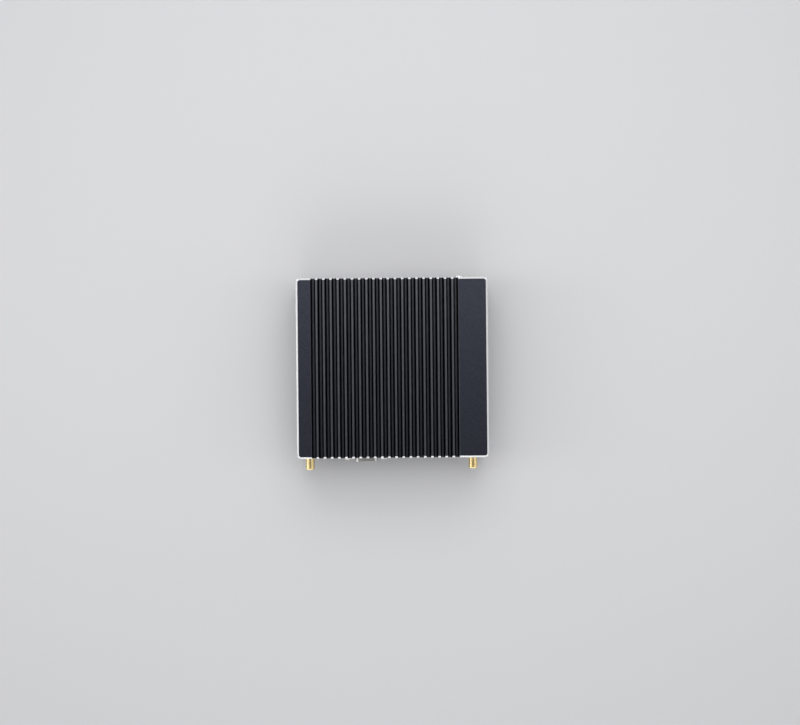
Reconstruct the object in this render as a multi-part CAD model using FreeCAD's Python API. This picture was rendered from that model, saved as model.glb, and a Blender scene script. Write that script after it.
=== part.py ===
import FreeCAD, Part
import math
import os

# Fanless mini pc in a finned aluminium case. Millimetres, +Z up, fins on top.
# Origin: centre of the case's outline, on the underside of the cover; the feet reach below it.
# Front panel (power button) faces -Y, rear panel (antenna jacks, sockets) faces +Y.

# ---------------------------------------------------------------- case
case_width = 134.0        # X
case_depth = 126.0        # Y
case_height = 37.0        # underside of the cover to the tops of the fins
corner_radius = 3.0       # upright corners of the case
edge_chamfer = 1.2        # bright-cut edge round the top
side_wall = 3.0
roof_thickness = 4.0      # solid metal between the room inside and the fins
cover_thickness = 2.5
cover_edge = 0.5
panel_thickness = 2.0
panel_recess = 1.5        # the panels stand this far back from the case's ends
panel_clearance = 0.1
hole_clearance = 0.25     # round whatever passes through a panel

# ---------------------------------------------------------------- fins
fin_height = 6.0
fin_pitch = 5.0
fin_tip = 1.7
groove_floor = 1.2
fin_lip = 0.2             # broken edge along each fin
narrow_strip = 10.2       # plain metal beside the fins on the +X side
wide_strip = 20.5         # plain metal beside the fins on the -X side

# ---------------------------------------------------------------- feet, cover and wall mount
foot_height = 3.0
foot_radius = 6.0
foot_inset_x = 15.0
foot_inset_y = 15.0
vesa_spacing = 75.0
vesa_hole_radius = 1.65
press_gap = 0.02
vent_count = 6
vent_pitch = 7.0
vent_width = 2.5
vent_length = 14.0
vent_inset = 14.0         # case end to the middle of a row of vents

# ---------------------------------------------------------------- screws
screw_radius = 1.5        # M3
shank_sides = 6           # screws and their holes are plain prisms
head_sides = 10
round_sides = 24          # larger round parts that nothing runs in
screw_gap = 0.05          # radial, in a tapped hole
screw_hole_clearance = 0.15
tapped_spare = 0.4        # the tapped holes run on past the screws
pan_head_radius = 2.6
pan_head_height = 1.2
sunk_head_radius = 2.9
boss_width = 7.0
boss_depth = 9.5
lower_boss_height = 6.5
upper_boss_height = 6.0
boss_screw_inset = 3.5    # side wall's inner face to the screws
panel_screw_length = 6.0  # under the head
cover_screw_length = 6.5
cover_screw_setback = 6.2     # panel's inner face to the cover screws

# ---------------------------------------------------------------- main board
board_thickness = 1.6
board_side_gap = 1.0
board_end_gap = 2.0
standoff_height = 3.9
standoff_size = 7.0       # square pads milled under the roof
board_screw_length = 4.4
board_hole_inset = 4.0
board_hole_front = 15.5   # board's front edge to the front holes
board_hole_rear = 18.5

# ---------------------------------------------------------------- processor and its heat path
chip_x = 5.0
chip_y = -2.0
package_width = 25.0
package_depth = 27.0
package_thickness = 1.2
die_width = 10.0
die_depth = 12.0
die_thickness = 0.4
pad_margin = 2.0
pad_thickness = 0.3
block_size = 40.0
block_pocket = 0.5        # the heat block sits this deep in the roof
block_gap = 0.05

# ---------------------------------------------------------------- memory module and its socket
memory_inset = 1.0        # board's side edge to the socket
memory_front = -37.0      # front edge of the socket
memory_socket_depth = 8.0
memory_socket_height = 4.0
memory_arm_width = 2.6
memory_arm_gap = 0.4      # each side of the module
memory_arm_length = 22.0
module_width = 67.6
module_depth = 30.0
module_thickness = 1.2
module_drop = 2.0         # board to the module
module_insertion = 4.0
module_chip_count = 4
module_chip_width = 9.0
module_chip_depth = 11.0
module_chip_thickness = 1.0
module_chip_row = 18.0    # inserted edge of the module to the middle of its chips
slot_gap = 0.05

# ---------------------------------------------------------------- plug-in cards
card_y = 18.0
card_width = 30.0
card_thickness = 1.0
card_drop = 2.2
card_socket_depth = 8.0
card_socket_height = 4.0
card_insertion = 4.0
card_socket_inset = 4.0   # board's side edge to the socket
card_socket_side = 1.0
latch_spacing = 22.0
latch_width = 3.0
latch_thickness = 2.0
latch_hook = 0.8
latch_nose = 1.2
storage_card_length = 50.9
storage_chip_width = 12.0
storage_chip_depth = 18.0
storage_chip_pitch = 14.0
storage_chip_thickness = 1.2
storage_chip_count = 3
radio_card_length = 26.8
radio_can_length = 15.0
radio_can_width = 22.0
radio_can_height = 1.6
radio_can_margin = 0.5
antenna_plug_radius = 1.3
antenna_plug_height = 1.5

# ---------------------------------------------------------------- battery
cell_radius = 10.0
cell_thickness = 3.2
cell_inset = 12.0         # board's side edge to the middle of the cell
cell_y = -20.0
cell_gap = 0.1
holder_wall = 1.3
holder_height = 5.0
holder_floor = 0.9
holder_notch = 8.0

# ---------------------------------------------------------------- parts that stand on the board
coil_size = 7.0
coil_height = 3.2
coil_edge = 0.8
coil_count = 3
coil_pitch = 8.5
coil_gap = 3.0            # beside the heat block
can_radius = 3.15
can_height = 5.8
can_count = 3
can_pitch = 8.0
can_base = 0.8
can_first = 10.0
lan_filter_width = 12.0
lan_filter_depth = 7.0
lan_filter_height = 5.0
lan_filter_gap = 1.0

# ---------------------------------------------------------------- antenna jacks
antenna_inset = 9.0       # case side to the jack's axis, but for the offset
antenna_offset = 1.0      # both jacks sit this much towards +X
thread_radius = 3.175
thread_relief = 0.25      # the barrel is thinner through the nut and the panel
jack_reach = 9.0          # beyond the end of the case
jack_bore_radius = 2.3
jack_bore_depth = 5.0
jack_lip = 0.35
jack_shoulder_radius = 3.8
jack_shoulder_length = 2.5
nut_flats = 8.0
jack_nut_height = 2.8      # with its washer face
nut_washer_face = 0.6
washer_face_radius = 4.8
insulator_length = 2.5
contact_radius = 0.65
contact_recess = 0.9
antenna_plug_inset = 4.0
antenna_plug_spread = 6.0
lead_radius = 0.6
lead_sides = 4            # hidden leads, plain square section
lead_gap = 0.05

# ---------------------------------------------------------------- sockets on the rear panel
inlet_width = 9.0
inlet_height = 11.0
inlet_depth = 14.0
inlet_bore_radius = 2.9
inlet_bore_depth = 9.5
inlet_pin_radius = 1.25
inlet_pin_recess = 0.6
inlet_drop = 6.5          # board to the bore's axis
vga_plate_width = 31.0
vga_plate_height = 12.4
vga_plate_thickness = 0.8
vga_drop = 6.9
vga_shell_width = 16.3
vga_shell_height = 8.2
vga_shell_reach = 7.0     # beyond the panel's inner face
vga_shell_wall = 0.5
vga_shell_slope = 10.0    # degrees
vga_shell_corner = 2.2
vga_body_depth = 9.0
vga_screw_spacing = 25.0
vga_screw_flats = 4.8
vga_screw_head = 3.7
vga_screw_length = 8.0
vga_pin_radius = 0.5
vga_pin_pitch = 2.29
vga_row_pitch = 1.98
vga_insert_recess = 0.4
vga_pin_depth = 3.0
vga_screw_bore = 1.3
vga_screw_bore_depth = 2.5
hdmi_width = 15.0
hdmi_height = 6.0
hdmi_depth = 11.5
hdmi_wall = 0.4
hdmi_corner = 2.0
hdmi_tongue_width = 11.0
hdmi_tongue_thickness = 0.8
hdmi_tongue_offset = 0.4
hdmi_tongue_recess = 1.0
hdmi_root_depth = 2.0
lan_width = 16.0
lan_height = 13.5
lan_depth = 18.0
lan_wall = 0.3
lan_bay_width = 11.8
lan_bay_height = 7.4
lan_bay_depth = 13.0
lan_latch_width = 6.2
lan_latch_height = 2.0
lan_bay_drop = 2.2        # shell's top to the bay
lan_pin_count = 8
lan_pin_pitch = 1.02
lan_pin_width = 0.5
lan_pin_thickness = 0.4
lan_pin_fall = 2.0
lan_pin_setback = 3.0
lan_light_width = 2.4
lan_light_height = 1.6
lan_light_depth = 2.0
lan_light_margin = 0.6

# The spare room along the rear row is dealt out between its neighbours in these proportions.
rear_gaps = (2.8, 7.15, 3.85, 2.0, 0.8, 3.0)

# ---------------------------------------------------------------- controls and sockets on the front
button_inset = 18.7       # case side to the button's axis
button_reach = 2.0        # beyond the end of the case
button_radius = 2.75
button_travel = 0.6
button_gap = 0.1          # radial, in the bezel
button_collar_radius = 3.6
button_collar_length = 1.0
button_stem = 3.0
bezel_radius = 4.5
bezel_barrel_radius = 3.6
bezel_flange = 0.8
bezel_tail = 0.5          # past the panel's inner face
switch_width = 6.0
switch_depth = 3.5
switch_post_size = 3.0
switch_post_reach = 1.5
switch_post_hidden = 1.0
switch_post_gap = 0.05
switch_board_setback = 9.5    # panel's inner face to the little board's face
switch_board_thickness = 1.2
switch_board_below = 3.0      # past the switch
switch_board_beside = 4.0
light_spacing = 4.0
light_radius = 1.2
light_reach = 0.3
light_chip_size = 2.4
light_chip_height = 1.0
light_gap = 0.1
light_pair_width = 7.0
audio_width = 8.0
audio_bore_radius = 1.8
audio_bore_depth = 11.0
audio_collar_radius = 3.0
audio_body_width = 6.4
audio_body_height = 6.0
audio_body_depth = 12.0
audio_drop = 7.0
usb_width = 14.5
usb_height = 15.6
usb_depth = 17.5
usb_wall = 0.35
usb_bay_width = 12.9
usb_bay_height = 5.4
usb_bay_pitch = 7.9
usb_bay_depth = 12.5
usb_tongue_width = 11.2
usb_tongue_thickness = 1.9
usb_tongue_length = 9.5
usb_tongue_offset = 1.2
front_gaps = (5.8, 7.0, 3.0, 10.0, 5.5, 17.5)

# ================================================================ levels and planes
cover_bottom = 0.0
cover_top = cover_bottom + cover_thickness
fin_top = cover_bottom + case_height
fin_foot = fin_top - fin_height
roof_bottom = fin_foot - roof_thickness
board_top = roof_bottom - standoff_height
board_bottom = board_top - board_thickness
wall_inner = case_width / 2 - side_wall
case_end = case_depth / 2
panel_outer = case_end - panel_recess
panel_inner = panel_outer - panel_thickness
board_side = wall_inner - boss_width - board_side_gap
board_end = panel_inner - board_end_gap
boss_x = wall_inner - boss_screw_inset
lower_screw_z = cover_top + lower_boss_height / 2 + 0.4
upper_screw_z = roof_bottom - upper_boss_height / 2
control_z = (cover_top + lower_boss_height + roof_bottom - upper_boss_height) / 2
cover_screw_y = panel_inner - cover_screw_setback
fin_count = int((case_width - narrow_strip - wide_strip - fin_pitch + fin_tip) / fin_pitch + 1e-6)
board_hole_x = board_side - board_hole_inset
board_hole_y = (-board_end + board_hole_front, board_end - board_hole_rear)

UP = FreeCAD.Vector(0, 0, 1)
BACK = FreeCAD.Vector(0, 1, 0)
ORIGIN = FreeCAD.Vector(0, 0, 0)


def spread(start, end, widths, gaps):
    """Centres of a row of pieces, from start to end, the spare room shared out by gaps."""
    way = 1 if end > start else -1
    spare = abs(end - start) - sum(widths)
    centres = []
    edge = start
    for width, gap in zip(widths, gaps):
        edge += way * spare * gap / sum(gaps)
        centres.append(edge + way * width / 2)
        edge += way * width
    return centres


memory_socket_width = module_width + 2 * (memory_arm_gap + memory_arm_width)
memory_x = board_side - memory_inset - memory_socket_width / 2
cell_x = cell_inset - board_side
antenna_x = case_width / 2 - antenna_inset
antenna_xs = (antenna_x + antenna_offset, antenna_offset - antenna_x)
nut_corner = nut_flats / math.sqrt(3)
rear_end = antenna_x - nut_corner
rear_row = spread(rear_end, -rear_end,
                  (inlet_width, vga_plate_width, hdmi_width, lan_width, lan_width), rear_gaps)
inlet_x, vga_x, hdmi_x = rear_row[:3]
lan_xs = rear_row[3:]
button_x = -(case_width / 2 - button_inset)
front_row = spread(button_x + bezel_radius, wall_inner - boss_width,
                   (light_pair_width, audio_width, audio_width, usb_width, usb_width), front_gaps)
light_xs = (front_row[0] - light_spacing / 2, front_row[0] + light_spacing / 2)
audio_xs = front_row[1:3]
usb_xs = front_row[3:]
inlet_z = board_bottom - inlet_drop
audio_z = board_bottom - audio_drop
vga_z = board_bottom - vga_drop
vga_screw_xs = (vga_x - vga_screw_spacing / 2, vga_x + vga_screw_spacing / 2)
switch_face = panel_inner - switch_board_setback + switch_depth
nut_front = panel_outer + jack_nut_height
neck_radius = thread_radius - thread_relief
card_top = board_bottom - card_drop
card_bottom = card_top - card_thickness
storage_start = -(board_side - card_socket_inset - card_socket_depth + card_insertion)
storage_end = storage_start + storage_card_length
radio_start = board_side - card_socket_inset - card_socket_depth + card_insertion
radio_end = radio_start - radio_card_length


# ================================================================ helpers
def point(x, y, z):
    return FreeCAD.Vector(x, y, z)


def block(x0, x1, y0, y1, z0, z1):
    return Part.makeBox(x1 - x0, y1 - y0, z1 - z0, point(x0, y0, z0))


def slab(x, y, width, depth, z0, z1):
    """Box of the given plan size centred on x, y."""
    return block(x - width / 2, x + width / 2, y - depth / 2, y + depth / 2, z0, z1)


def upright(radius, x, y, z0, z1):
    return Part.makeCylinder(radius, z1 - z0, point(x, y, z0), UP)


def along_y(radius, x, z, y0, y1):
    return Part.makeCylinder(radius, y1 - y0, point(x, y0, z), BACK)


def prism(points, direction):
    wire = Part.makePolygon(points + [points[0]])
    return Part.Face(wire).extrude(direction)


def section_xz(points, y0, y1):
    """Closed outline of x, z pairs, carried from y0 to y1."""
    return prism([point(x, y0, z) for x, z in points], point(0, y1 - y0, 0))


def corners(sides, radius):
    """Corners of a regular polygon, as pairs."""
    angles = [math.radians(360 * (i + 0.5) / sides) for i in range(sides)]
    return [(radius * math.cos(a), radius * math.sin(a)) for a in angles]


def polygon_y(sides, radius, x, z, y0, y1):
    return section_xz([(x + a, z + b) for a, b in corners(sides, radius)], y0, y1)


def polygon_z(sides, radius, x, y, z0, z1):
    return prism([point(x + a, y + b, z0) for a, b in corners(sides, radius)], point(0, 0, z1 - z0))


def tapered_z(sides, low_radius, high_radius, x, y, z0, z1):
    low = [point(x + a, y + b, z0) for a, b in corners(sides, low_radius)]
    high = [point(x + a, y + b, z1) for a, b in corners(sides, high_radius)]
    outlines = [low, high]
    outlines += [[low[i - 1], low[i], high[i], high[i - 1]] for i in range(sides)]
    return Part.Solid(Part.Shell([Part.Face(Part.makePolygon(o + [o[0]])) for o in outlines]))


def turned_y(outline, x, z):
    """Outline of radius, y pairs turned about an axis along Y through x, z."""
    face = Part.Face(Part.makePolygon([point(r, y, 0) for r, y in outline + [outline[0]]]))
    return face.revolve(ORIGIN, BACK, 360).translated(point(x, 0, z))


def edges_along(solid, axis):
    """Straight edges parallel to an axis, for fillets and chamfers."""
    return [edge for edge in solid.Edges
            if edge.Curve.TypeId == "Part::GeomLine" and abs(edge.Curve.Direction.dot(axis)) > 0.999]


def rim_at(solid, z):
    """Edges that lie flat at one level."""
    return [edge for edge in solid.Edges if all(abs(v.Z - z) < 1e-6 for v in edge.Vertexes)]


def rounded_plate(width, depth, z0, z1, radius):
    plate = slab(0, 0, width, depth, z0, z1)
    return plate.makeFillet(radius, edges_along(plate, UP))


def facing_front(solid):
    """Half a turn about the upright axis: what was built facing +Y at -x faces -Y at x."""
    return solid.rotated(ORIGIN, UP, 180)


def four(x, y):
    return [(sx * x, sy * y) for sx in (-1, 1) for sy in (-1, 1)]


def group(solids):
    return Part.makeCompound(solids)


# ================================================================ screws
def shank_y(x, z, y0, y1, grow):
    return polygon_y(shank_sides, screw_radius + grow, x, z, y0, y1)


def shank_z(x, y, z0, z1, grow):
    return polygon_z(shank_sides, screw_radius + grow, x, y, z0, z1)


def sunk_head(x, y, grow):
    """Countersunk head flush with the underside of the cover; grow makes the hole for it."""
    depth = sunk_head_radius - screw_radius
    return tapered_z(head_sides, sunk_head_radius + grow, screw_radius + grow, x, y,
                     cover_bottom, cover_bottom + depth)


def cover_screws():
    screws = []
    for x, y in four(boss_x, cover_screw_y):
        shank = shank_z(x, y, cover_bottom + 0.5, cover_bottom + cover_screw_length, 0)
        screws.append(sunk_head(x, y, 0).fuse(shank).removeSplitter())
    return group(screws)


def rear_panel_screws():
    screws = []
    for x, z in panel_screw_places():
        head = polygon_y(head_sides, pan_head_radius, x, z, panel_outer, panel_outer + pan_head_height)
        shank = shank_y(x, z, panel_outer - panel_screw_length, panel_outer, 0)
        screws.append(head.fuse(shank).removeSplitter())
    return group(screws)


def front_panel_screws():
    return facing_front(rear_panel_screws())


def board_screws():
    screws = []
    for x, y in board_holes():
        head = polygon_z(head_sides, pan_head_radius, x, y, board_bottom - pan_head_height, board_bottom)
        shank = shank_z(x, y, board_bottom, board_bottom + board_screw_length, 0)
        screws.append(head.fuse(shank).removeSplitter())
    return group(screws)


def panel_screw_places():
    return [(sx * boss_x, z) for sx in (-1, 1) for z in (lower_screw_z, upper_screw_z)]


def board_holes():
    return [(x, y) for x in (-board_hole_x, board_hole_x) for y in board_hole_y]


# ================================================================ case
def groove(x):
    """One tapered groove between fins; x is its edge on the +X side."""
    top = fin_pitch - fin_tip
    middle = x - top / 2
    return section_xz([(x + fin_lip, fin_top + fin_lip), (x + fin_lip, fin_top), (x, fin_top - fin_lip),
                       (middle + groove_floor / 2, fin_foot), (middle - groove_floor / 2, fin_foot),
                       (x - top, fin_top - fin_lip), (x - top - fin_lip, fin_top),
                       (x - top - fin_lip, fin_top + fin_lip)], -case_end, case_end)


def case_blank():
    blank = rounded_plate(case_width, case_depth, cover_top, fin_top, corner_radius)
    return blank.makeChamfer(edge_chamfer, rim_at(blank, fin_top))


def corner_bosses():
    """Square bosses in the case's corners that take the cover and panel screws."""
    bosses = []
    for sx, sy in four(1, 1):
        x0, x1 = sorted((sx * (wall_inner - boss_width), sx * (wall_inner + side_wall / 2)))
        y0, y1 = sorted((sy * (panel_inner - boss_depth), sy * panel_inner))
        bosses.append(block(x0, x1, y0, y1, cover_top, cover_top + lower_boss_height))
        bosses.append(block(x0, x1, y0, y1, roof_bottom - upper_boss_height,
                            roof_bottom + roof_thickness / 2))
    return bosses


def board_pads():
    return [slab(x, y, standoff_size, standoff_size, board_top, roof_bottom + roof_thickness / 2)
            for x, y in board_holes()]


def tapped_holes():
    holes = []
    for x, y in four(boss_x, cover_screw_y):
        holes.append(shank_z(x, y, cover_top, cover_bottom + cover_screw_length + tapped_spare, screw_gap))
    for x, z in panel_screw_places():
        hole = shank_y(x, z, panel_outer - panel_screw_length - tapped_spare, panel_inner, screw_gap)
        holes += [hole, facing_front(hole)]
    for x, y in board_holes():
        holes.append(shank_z(x, y, board_top, board_bottom + board_screw_length + tapped_spare, screw_gap))
    return holes


def main_housing():
    body = case_blank()
    body = body.cut(block(-wall_inner, wall_inner, -case_end, case_end, cover_top, roof_bottom))
    first = case_width / 2 - narrow_strip
    body = body.cut([groove(first - i * fin_pitch) for i in range(fin_count + 1)])
    body = body.fuse(corner_bosses() + board_pads()).removeSplitter()
    pocket = slab(chip_x, chip_y, block_size + 2 * block_gap, block_size + 2 * block_gap,
                  roof_bottom, roof_bottom + block_pocket)
    return body.cut(tapped_holes() + [pocket])


def blank_panel():
    """Rear panel with its screw holes, before the sockets are cut."""
    half = wall_inner - panel_clearance
    plate = block(-half, half, panel_inner, panel_outer,
                  cover_top + panel_clearance, roof_bottom - panel_clearance)
    return plate.cut([shank_y(x, z, panel_inner, panel_outer, screw_hole_clearance)
                      for x, z in panel_screw_places()])


def window(x, width, z0, z1):
    """Square hole through the rear panel, round a socket of that size."""
    c = hole_clearance
    return block(x - width / 2 - c, x + width / 2 + c, panel_inner, panel_outer, z0 - c, z1 + c)


def rear_panel():
    cuts = [along_y(thread_radius + hole_clearance, x, control_z, panel_inner, panel_outer)
            for x in antenna_xs]
    cuts.append(window(inlet_x, inlet_width, board_bottom - inlet_height, board_bottom))
    cuts.append(vga_outline(hole_clearance, panel_inner, panel_outer))
    cuts += [shank_y(x, vga_z, panel_inner, panel_outer, screw_hole_clearance) for x in vga_screw_xs]
    cuts.append(window(hdmi_x, hdmi_width, board_bottom - hdmi_height, board_bottom))
    cuts += [window(x, lan_width, board_bottom - lan_height, board_bottom) for x in lan_xs]
    return blank_panel().cut(cuts)


def front_panel():
    cuts = [polygon_y(round_sides, bezel_barrel_radius + press_gap, -button_x, control_z,
                      panel_inner, panel_outer)]
    cuts += [polygon_y(head_sides, light_radius + press_gap, -x, control_z, panel_inner, panel_outer)
             for x in light_xs]
    cuts += [polygon_y(head_sides, audio_collar_radius + hole_clearance, -x, audio_z,
                       panel_inner, panel_outer) for x in audio_xs]
    cuts += [window(-x, usb_width, board_bottom - usb_height, board_bottom) for x in usb_xs]
    return facing_front(blank_panel().cut(cuts))


def bottom_cover():
    plate = rounded_plate(case_width, case_depth, cover_bottom, cover_top, corner_radius)
    plate = plate.makeChamfer(cover_edge, rim_at(plate, cover_bottom))
    cuts = []
    for x, y in four(boss_x, cover_screw_y):
        cuts += [sunk_head(x, y, screw_hole_clearance),
                 shank_z(x, y, cover_bottom, cover_top, screw_hole_clearance)]
    cuts += [upright(vesa_hole_radius, x, y, cover_bottom, cover_top)
             for x, y in four(vesa_spacing / 2, vesa_spacing / 2)]
    first = -(vent_count - 1) * vent_pitch / 2
    for row in (-1, 1):
        cuts += [slab(first + i * vent_pitch, row * (case_end - vent_inset), vent_width, vent_length,
                      cover_bottom, cover_top) for i in range(vent_count)]
    return plate.cut(cuts)


def rubber_feet():
    return group([polygon_z(round_sides, foot_radius, x, y, cover_bottom - foot_height, cover_bottom)
                  for x, y in four(case_width / 2 - foot_inset_x, case_end - foot_inset_y)])


# ================================================================ power button and lights
def power_button():
    """Cap, collar behind the bezel and square stem, in one piece; built facing +Y."""
    collar_front = panel_inner - bezel_tail - press_gap
    collar_back = collar_front - button_collar_length
    outline = [(0, collar_back), (button_collar_radius, collar_back),
               (button_collar_radius, collar_front), (button_radius, collar_front),
               (button_radius, case_end + button_reach), (0, case_end + button_reach)]
    stem = switch_square(button_stem, switch_face + switch_post_reach, collar_back)
    return facing_front(turned_y(outline, -button_x, control_z).fuse(stem).removeSplitter())


def power_button_bezel():
    bore = button_radius + button_gap
    tail = panel_inner - bezel_tail
    barrel = polygon_y(round_sides, bezel_barrel_radius, -button_x, control_z, tail, panel_outer)
    flange = polygon_y(round_sides, bezel_radius, -button_x, control_z,
                       panel_outer, panel_outer + bezel_flange)
    hole = along_y(bore, -button_x, control_z, tail, panel_outer + bezel_flange)
    return facing_front(barrel.fuse(flange).removeSplitter().cut(hole))


def switch_square(size, y0, y1):
    """Square bar on the button's axis, built facing +Y."""
    return block(-button_x - size / 2, -button_x + size / 2, y0, y1,
                 control_z - size / 2, control_z + size / 2)


def power_switch():
    body = switch_square(switch_width, switch_face - switch_depth, switch_face)
    well = switch_square(switch_post_size + 2 * switch_post_gap,
                         switch_face - switch_post_hidden - 2 * button_travel, switch_face)
    return facing_front(body.cut(well))


def switch_post():
    return facing_front(switch_square(switch_post_size, switch_face - switch_post_hidden,
                                      switch_face + switch_post_reach))


def switch_board():
    """Little upright board that carries the switch and the two light chips."""
    back = switch_face - switch_depth
    x0 = button_x - switch_width / 2 - switch_board_beside
    x1 = light_xs[1] + light_chip_size / 2 + switch_board_beside
    bottom = control_z - switch_width / 2 - switch_board_below
    board = block(-x1, -x0, back - switch_board_thickness, back, bottom, board_bottom)
    half = light_chip_size / 2
    chips = [block(-x - half, -x + half, back, back + light_chip_height,
                   control_z - half, control_z + half) for x in light_xs]
    return facing_front(group([board] + chips))


def light_pipes():
    start = switch_face - switch_depth + light_chip_height + light_gap
    return group([facing_front(polygon_y(head_sides, light_radius, -x, control_z,
                                         start, panel_outer + light_reach)) for x in light_xs])


# ================================================================ front sockets
def usb_levels():
    middle = board_bottom - usb_height / 2
    return (middle - usb_bay_pitch / 2, middle + usb_bay_pitch / 2)


def usb_shells():
    """Stacked pairs: a folded shell with two bays, filled behind them by the moulded insert."""
    low = board_bottom - usb_height
    start = panel_outer - usb_depth
    shells = []
    for x in usb_xs:
        shell = block(-x - usb_width / 2, -x + usb_width / 2, start, panel_outer, low, board_bottom)
        cuts = [block(-x - usb_bay_width / 2, -x + usb_bay_width / 2, panel_outer - usb_bay_depth,
                      panel_outer, z - usb_bay_height / 2, z + usb_bay_height / 2)
                for z in usb_levels()]
        cuts.append(block(-x - usb_width / 2 + usb_wall, -x + usb_width / 2 - usb_wall, start,
                          panel_outer - usb_bay_depth, low + usb_wall, board_bottom - usb_wall))
        shells.append(facing_front(shell.cut(cuts)))
    return group(shells)


def usb_inserts():
    inset = usb_wall + slot_gap
    return group([facing_front(block(-x - usb_width / 2 + inset, -x + usb_width / 2 - inset,
                                     panel_outer - usb_depth, panel_outer - usb_bay_depth - slot_gap,
                                     board_bottom - usb_height + inset, board_bottom - inset))
                  for x in usb_xs])


def usb_tongues(x):
    """Two tongues, one in each bay, each standing on the insert behind."""
    back = panel_outer - usb_bay_depth - slot_gap
    tongues = []
    for z in usb_levels():
        low = z + usb_tongue_offset - usb_tongue_thickness / 2
        tongue = block(-x - usb_tongue_width / 2, -x + usb_tongue_width / 2,
                       back, back + usb_tongue_length, low, low + usb_tongue_thickness)
        tongues.append(facing_front(tongue))
    return group(tongues)


def usb_tongues_blue():
    return usb_tongues(usb_xs[0])


def usb_tongues_black():
    return usb_tongues(usb_xs[1])


def audio_jacks():
    jacks = []
    for x in audio_xs:
        body = block(-x - audio_body_width / 2, -x + audio_body_width / 2,
                     panel_inner - audio_body_depth, panel_inner, audio_z - audio_body_height / 2,
                     board_bottom)
        collar = polygon_y(head_sides, audio_collar_radius, -x, audio_z, panel_inner, panel_outer)
        bore = along_y(audio_bore_radius, -x, audio_z, panel_outer - audio_bore_depth, panel_outer)
        jacks.append(facing_front(body.fuse(collar).removeSplitter().cut(bore)))
    return group(jacks)


# ================================================================ rear sockets
def power_inlet():
    body = block(inlet_x - inlet_width / 2, inlet_x + inlet_width / 2, panel_outer - inlet_depth,
                 panel_outer, board_bottom - inlet_height, board_bottom)
    return body.cut(along_y(inlet_bore_radius, inlet_x, inlet_z, panel_outer - inlet_bore_depth,
                            panel_outer))


def power_inlet_pin():
    return along_y(inlet_pin_radius, inlet_x, inlet_z, panel_outer - inlet_bore_depth,
                   panel_outer - inlet_pin_recess)


def vga_outline(grow, y0, y1):
    """The D of the shell, wide side up, grown all round and carried from y0 to y1."""
    slope = math.tan(math.radians(vga_shell_slope))
    half = vga_shell_height / 2 + grow
    middle = vga_shell_width / 2 - slope * vga_shell_height / 2 + grow
    wide = middle + slope * half
    narrow = middle - slope * half
    solid = section_xz([(vga_x - wide, vga_z + half), (vga_x + wide, vga_z + half),
                        (vga_x + narrow, vga_z - half), (vga_x - narrow, vga_z - half)], y0, y1)
    return solid.makeFillet(vga_shell_corner + grow, edges_along(solid, BACK))


def vga_shell():
    """Drawn steel plate behind the panel with the D-shaped shell standing out through it."""
    back = panel_inner - vga_plate_thickness
    front = panel_inner + vga_shell_reach
    plate = block(vga_x - vga_plate_width / 2, vga_x + vga_plate_width / 2, back, panel_inner,
                  vga_z - vga_plate_height / 2, vga_z + vga_plate_height / 2)
    solid = plate.fuse(vga_outline(0, back, front)).removeSplitter()
    cuts = [vga_outline(-vga_shell_wall, back, front)]
    cuts += [shank_y(x, vga_z, back, panel_inner, screw_hole_clearance) for x in vga_screw_xs]
    return solid.cut(cuts)


def vga_insert():
    """Moulding inside the shell, with three rows of five contact holes, and its block behind."""
    back = panel_inner - vga_plate_thickness
    front = panel_inner + vga_shell_reach - vga_insert_recess
    start = back - vga_body_depth
    nose = vga_outline(-vga_shell_wall - slot_gap, start, front)
    body = block(vga_x - vga_plate_width / 2, vga_x + vga_plate_width / 2, start, back,
                 vga_z - vga_plate_height / 2, board_bottom)
    holes = [shank_y(x, vga_z, start, back, screw_gap) for x in vga_screw_xs]
    for row in (-1, 0, 1):
        shift = 0 if row else vga_pin_pitch / 4
        for i in range(-2, 3):
            holes.append(polygon_y(shank_sides, vga_pin_radius, vga_x + i * vga_pin_pitch - shift,
                                   vga_z + row * vga_row_pitch, front - vga_pin_depth, front))
    return nose.fuse(body).removeSplitter().cut(holes)


def vga_jackscrews():
    """Hex posts that clamp the plate to the panel and take the plug's screws."""
    face = panel_outer + vga_screw_head
    screws = []
    for x in vga_screw_xs:
        head = polygon_y(6, vga_screw_flats / math.sqrt(3), x, vga_z, panel_outer, face)
        shank = shank_y(x, vga_z, panel_outer - vga_screw_length, panel_outer, 0)
        hole = polygon_y(head_sides, vga_screw_bore, x, vga_z, face - vga_screw_bore_depth, face)
        screws.append(head.fuse(shank).removeSplitter().cut(hole))
    return group(screws)


def hdmi_outline(grow, y0, y1):
    half = hdmi_width / 2 + grow
    low = board_bottom - hdmi_height - grow
    high = board_bottom + grow
    c = hdmi_corner
    return section_xz([(hdmi_x - half, high), (hdmi_x + half, high), (hdmi_x + half, low + c),
                       (hdmi_x + half - c, low), (hdmi_x - half + c, low), (hdmi_x - half, low + c)],
                      y0, y1)


def hdmi_shell():
    shell = hdmi_outline(0, panel_outer - hdmi_depth, panel_outer)
    return shell.cut(hdmi_outline(-hdmi_wall, panel_outer - hdmi_depth + hdmi_wall, panel_outer))


def hdmi_tongue():
    back = panel_outer - hdmi_depth + hdmi_wall
    half = hdmi_tongue_width / 2
    low = board_bottom - hdmi_height / 2 + hdmi_tongue_offset - hdmi_tongue_thickness / 2
    tongue = block(hdmi_x - half, hdmi_x + half, back, panel_outer - hdmi_tongue_recess,
                   low, low + hdmi_tongue_thickness)
    root = hdmi_outline(-hdmi_wall - slot_gap, back, back + hdmi_root_depth)
    return root.fuse(tongue).removeSplitter()


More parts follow.
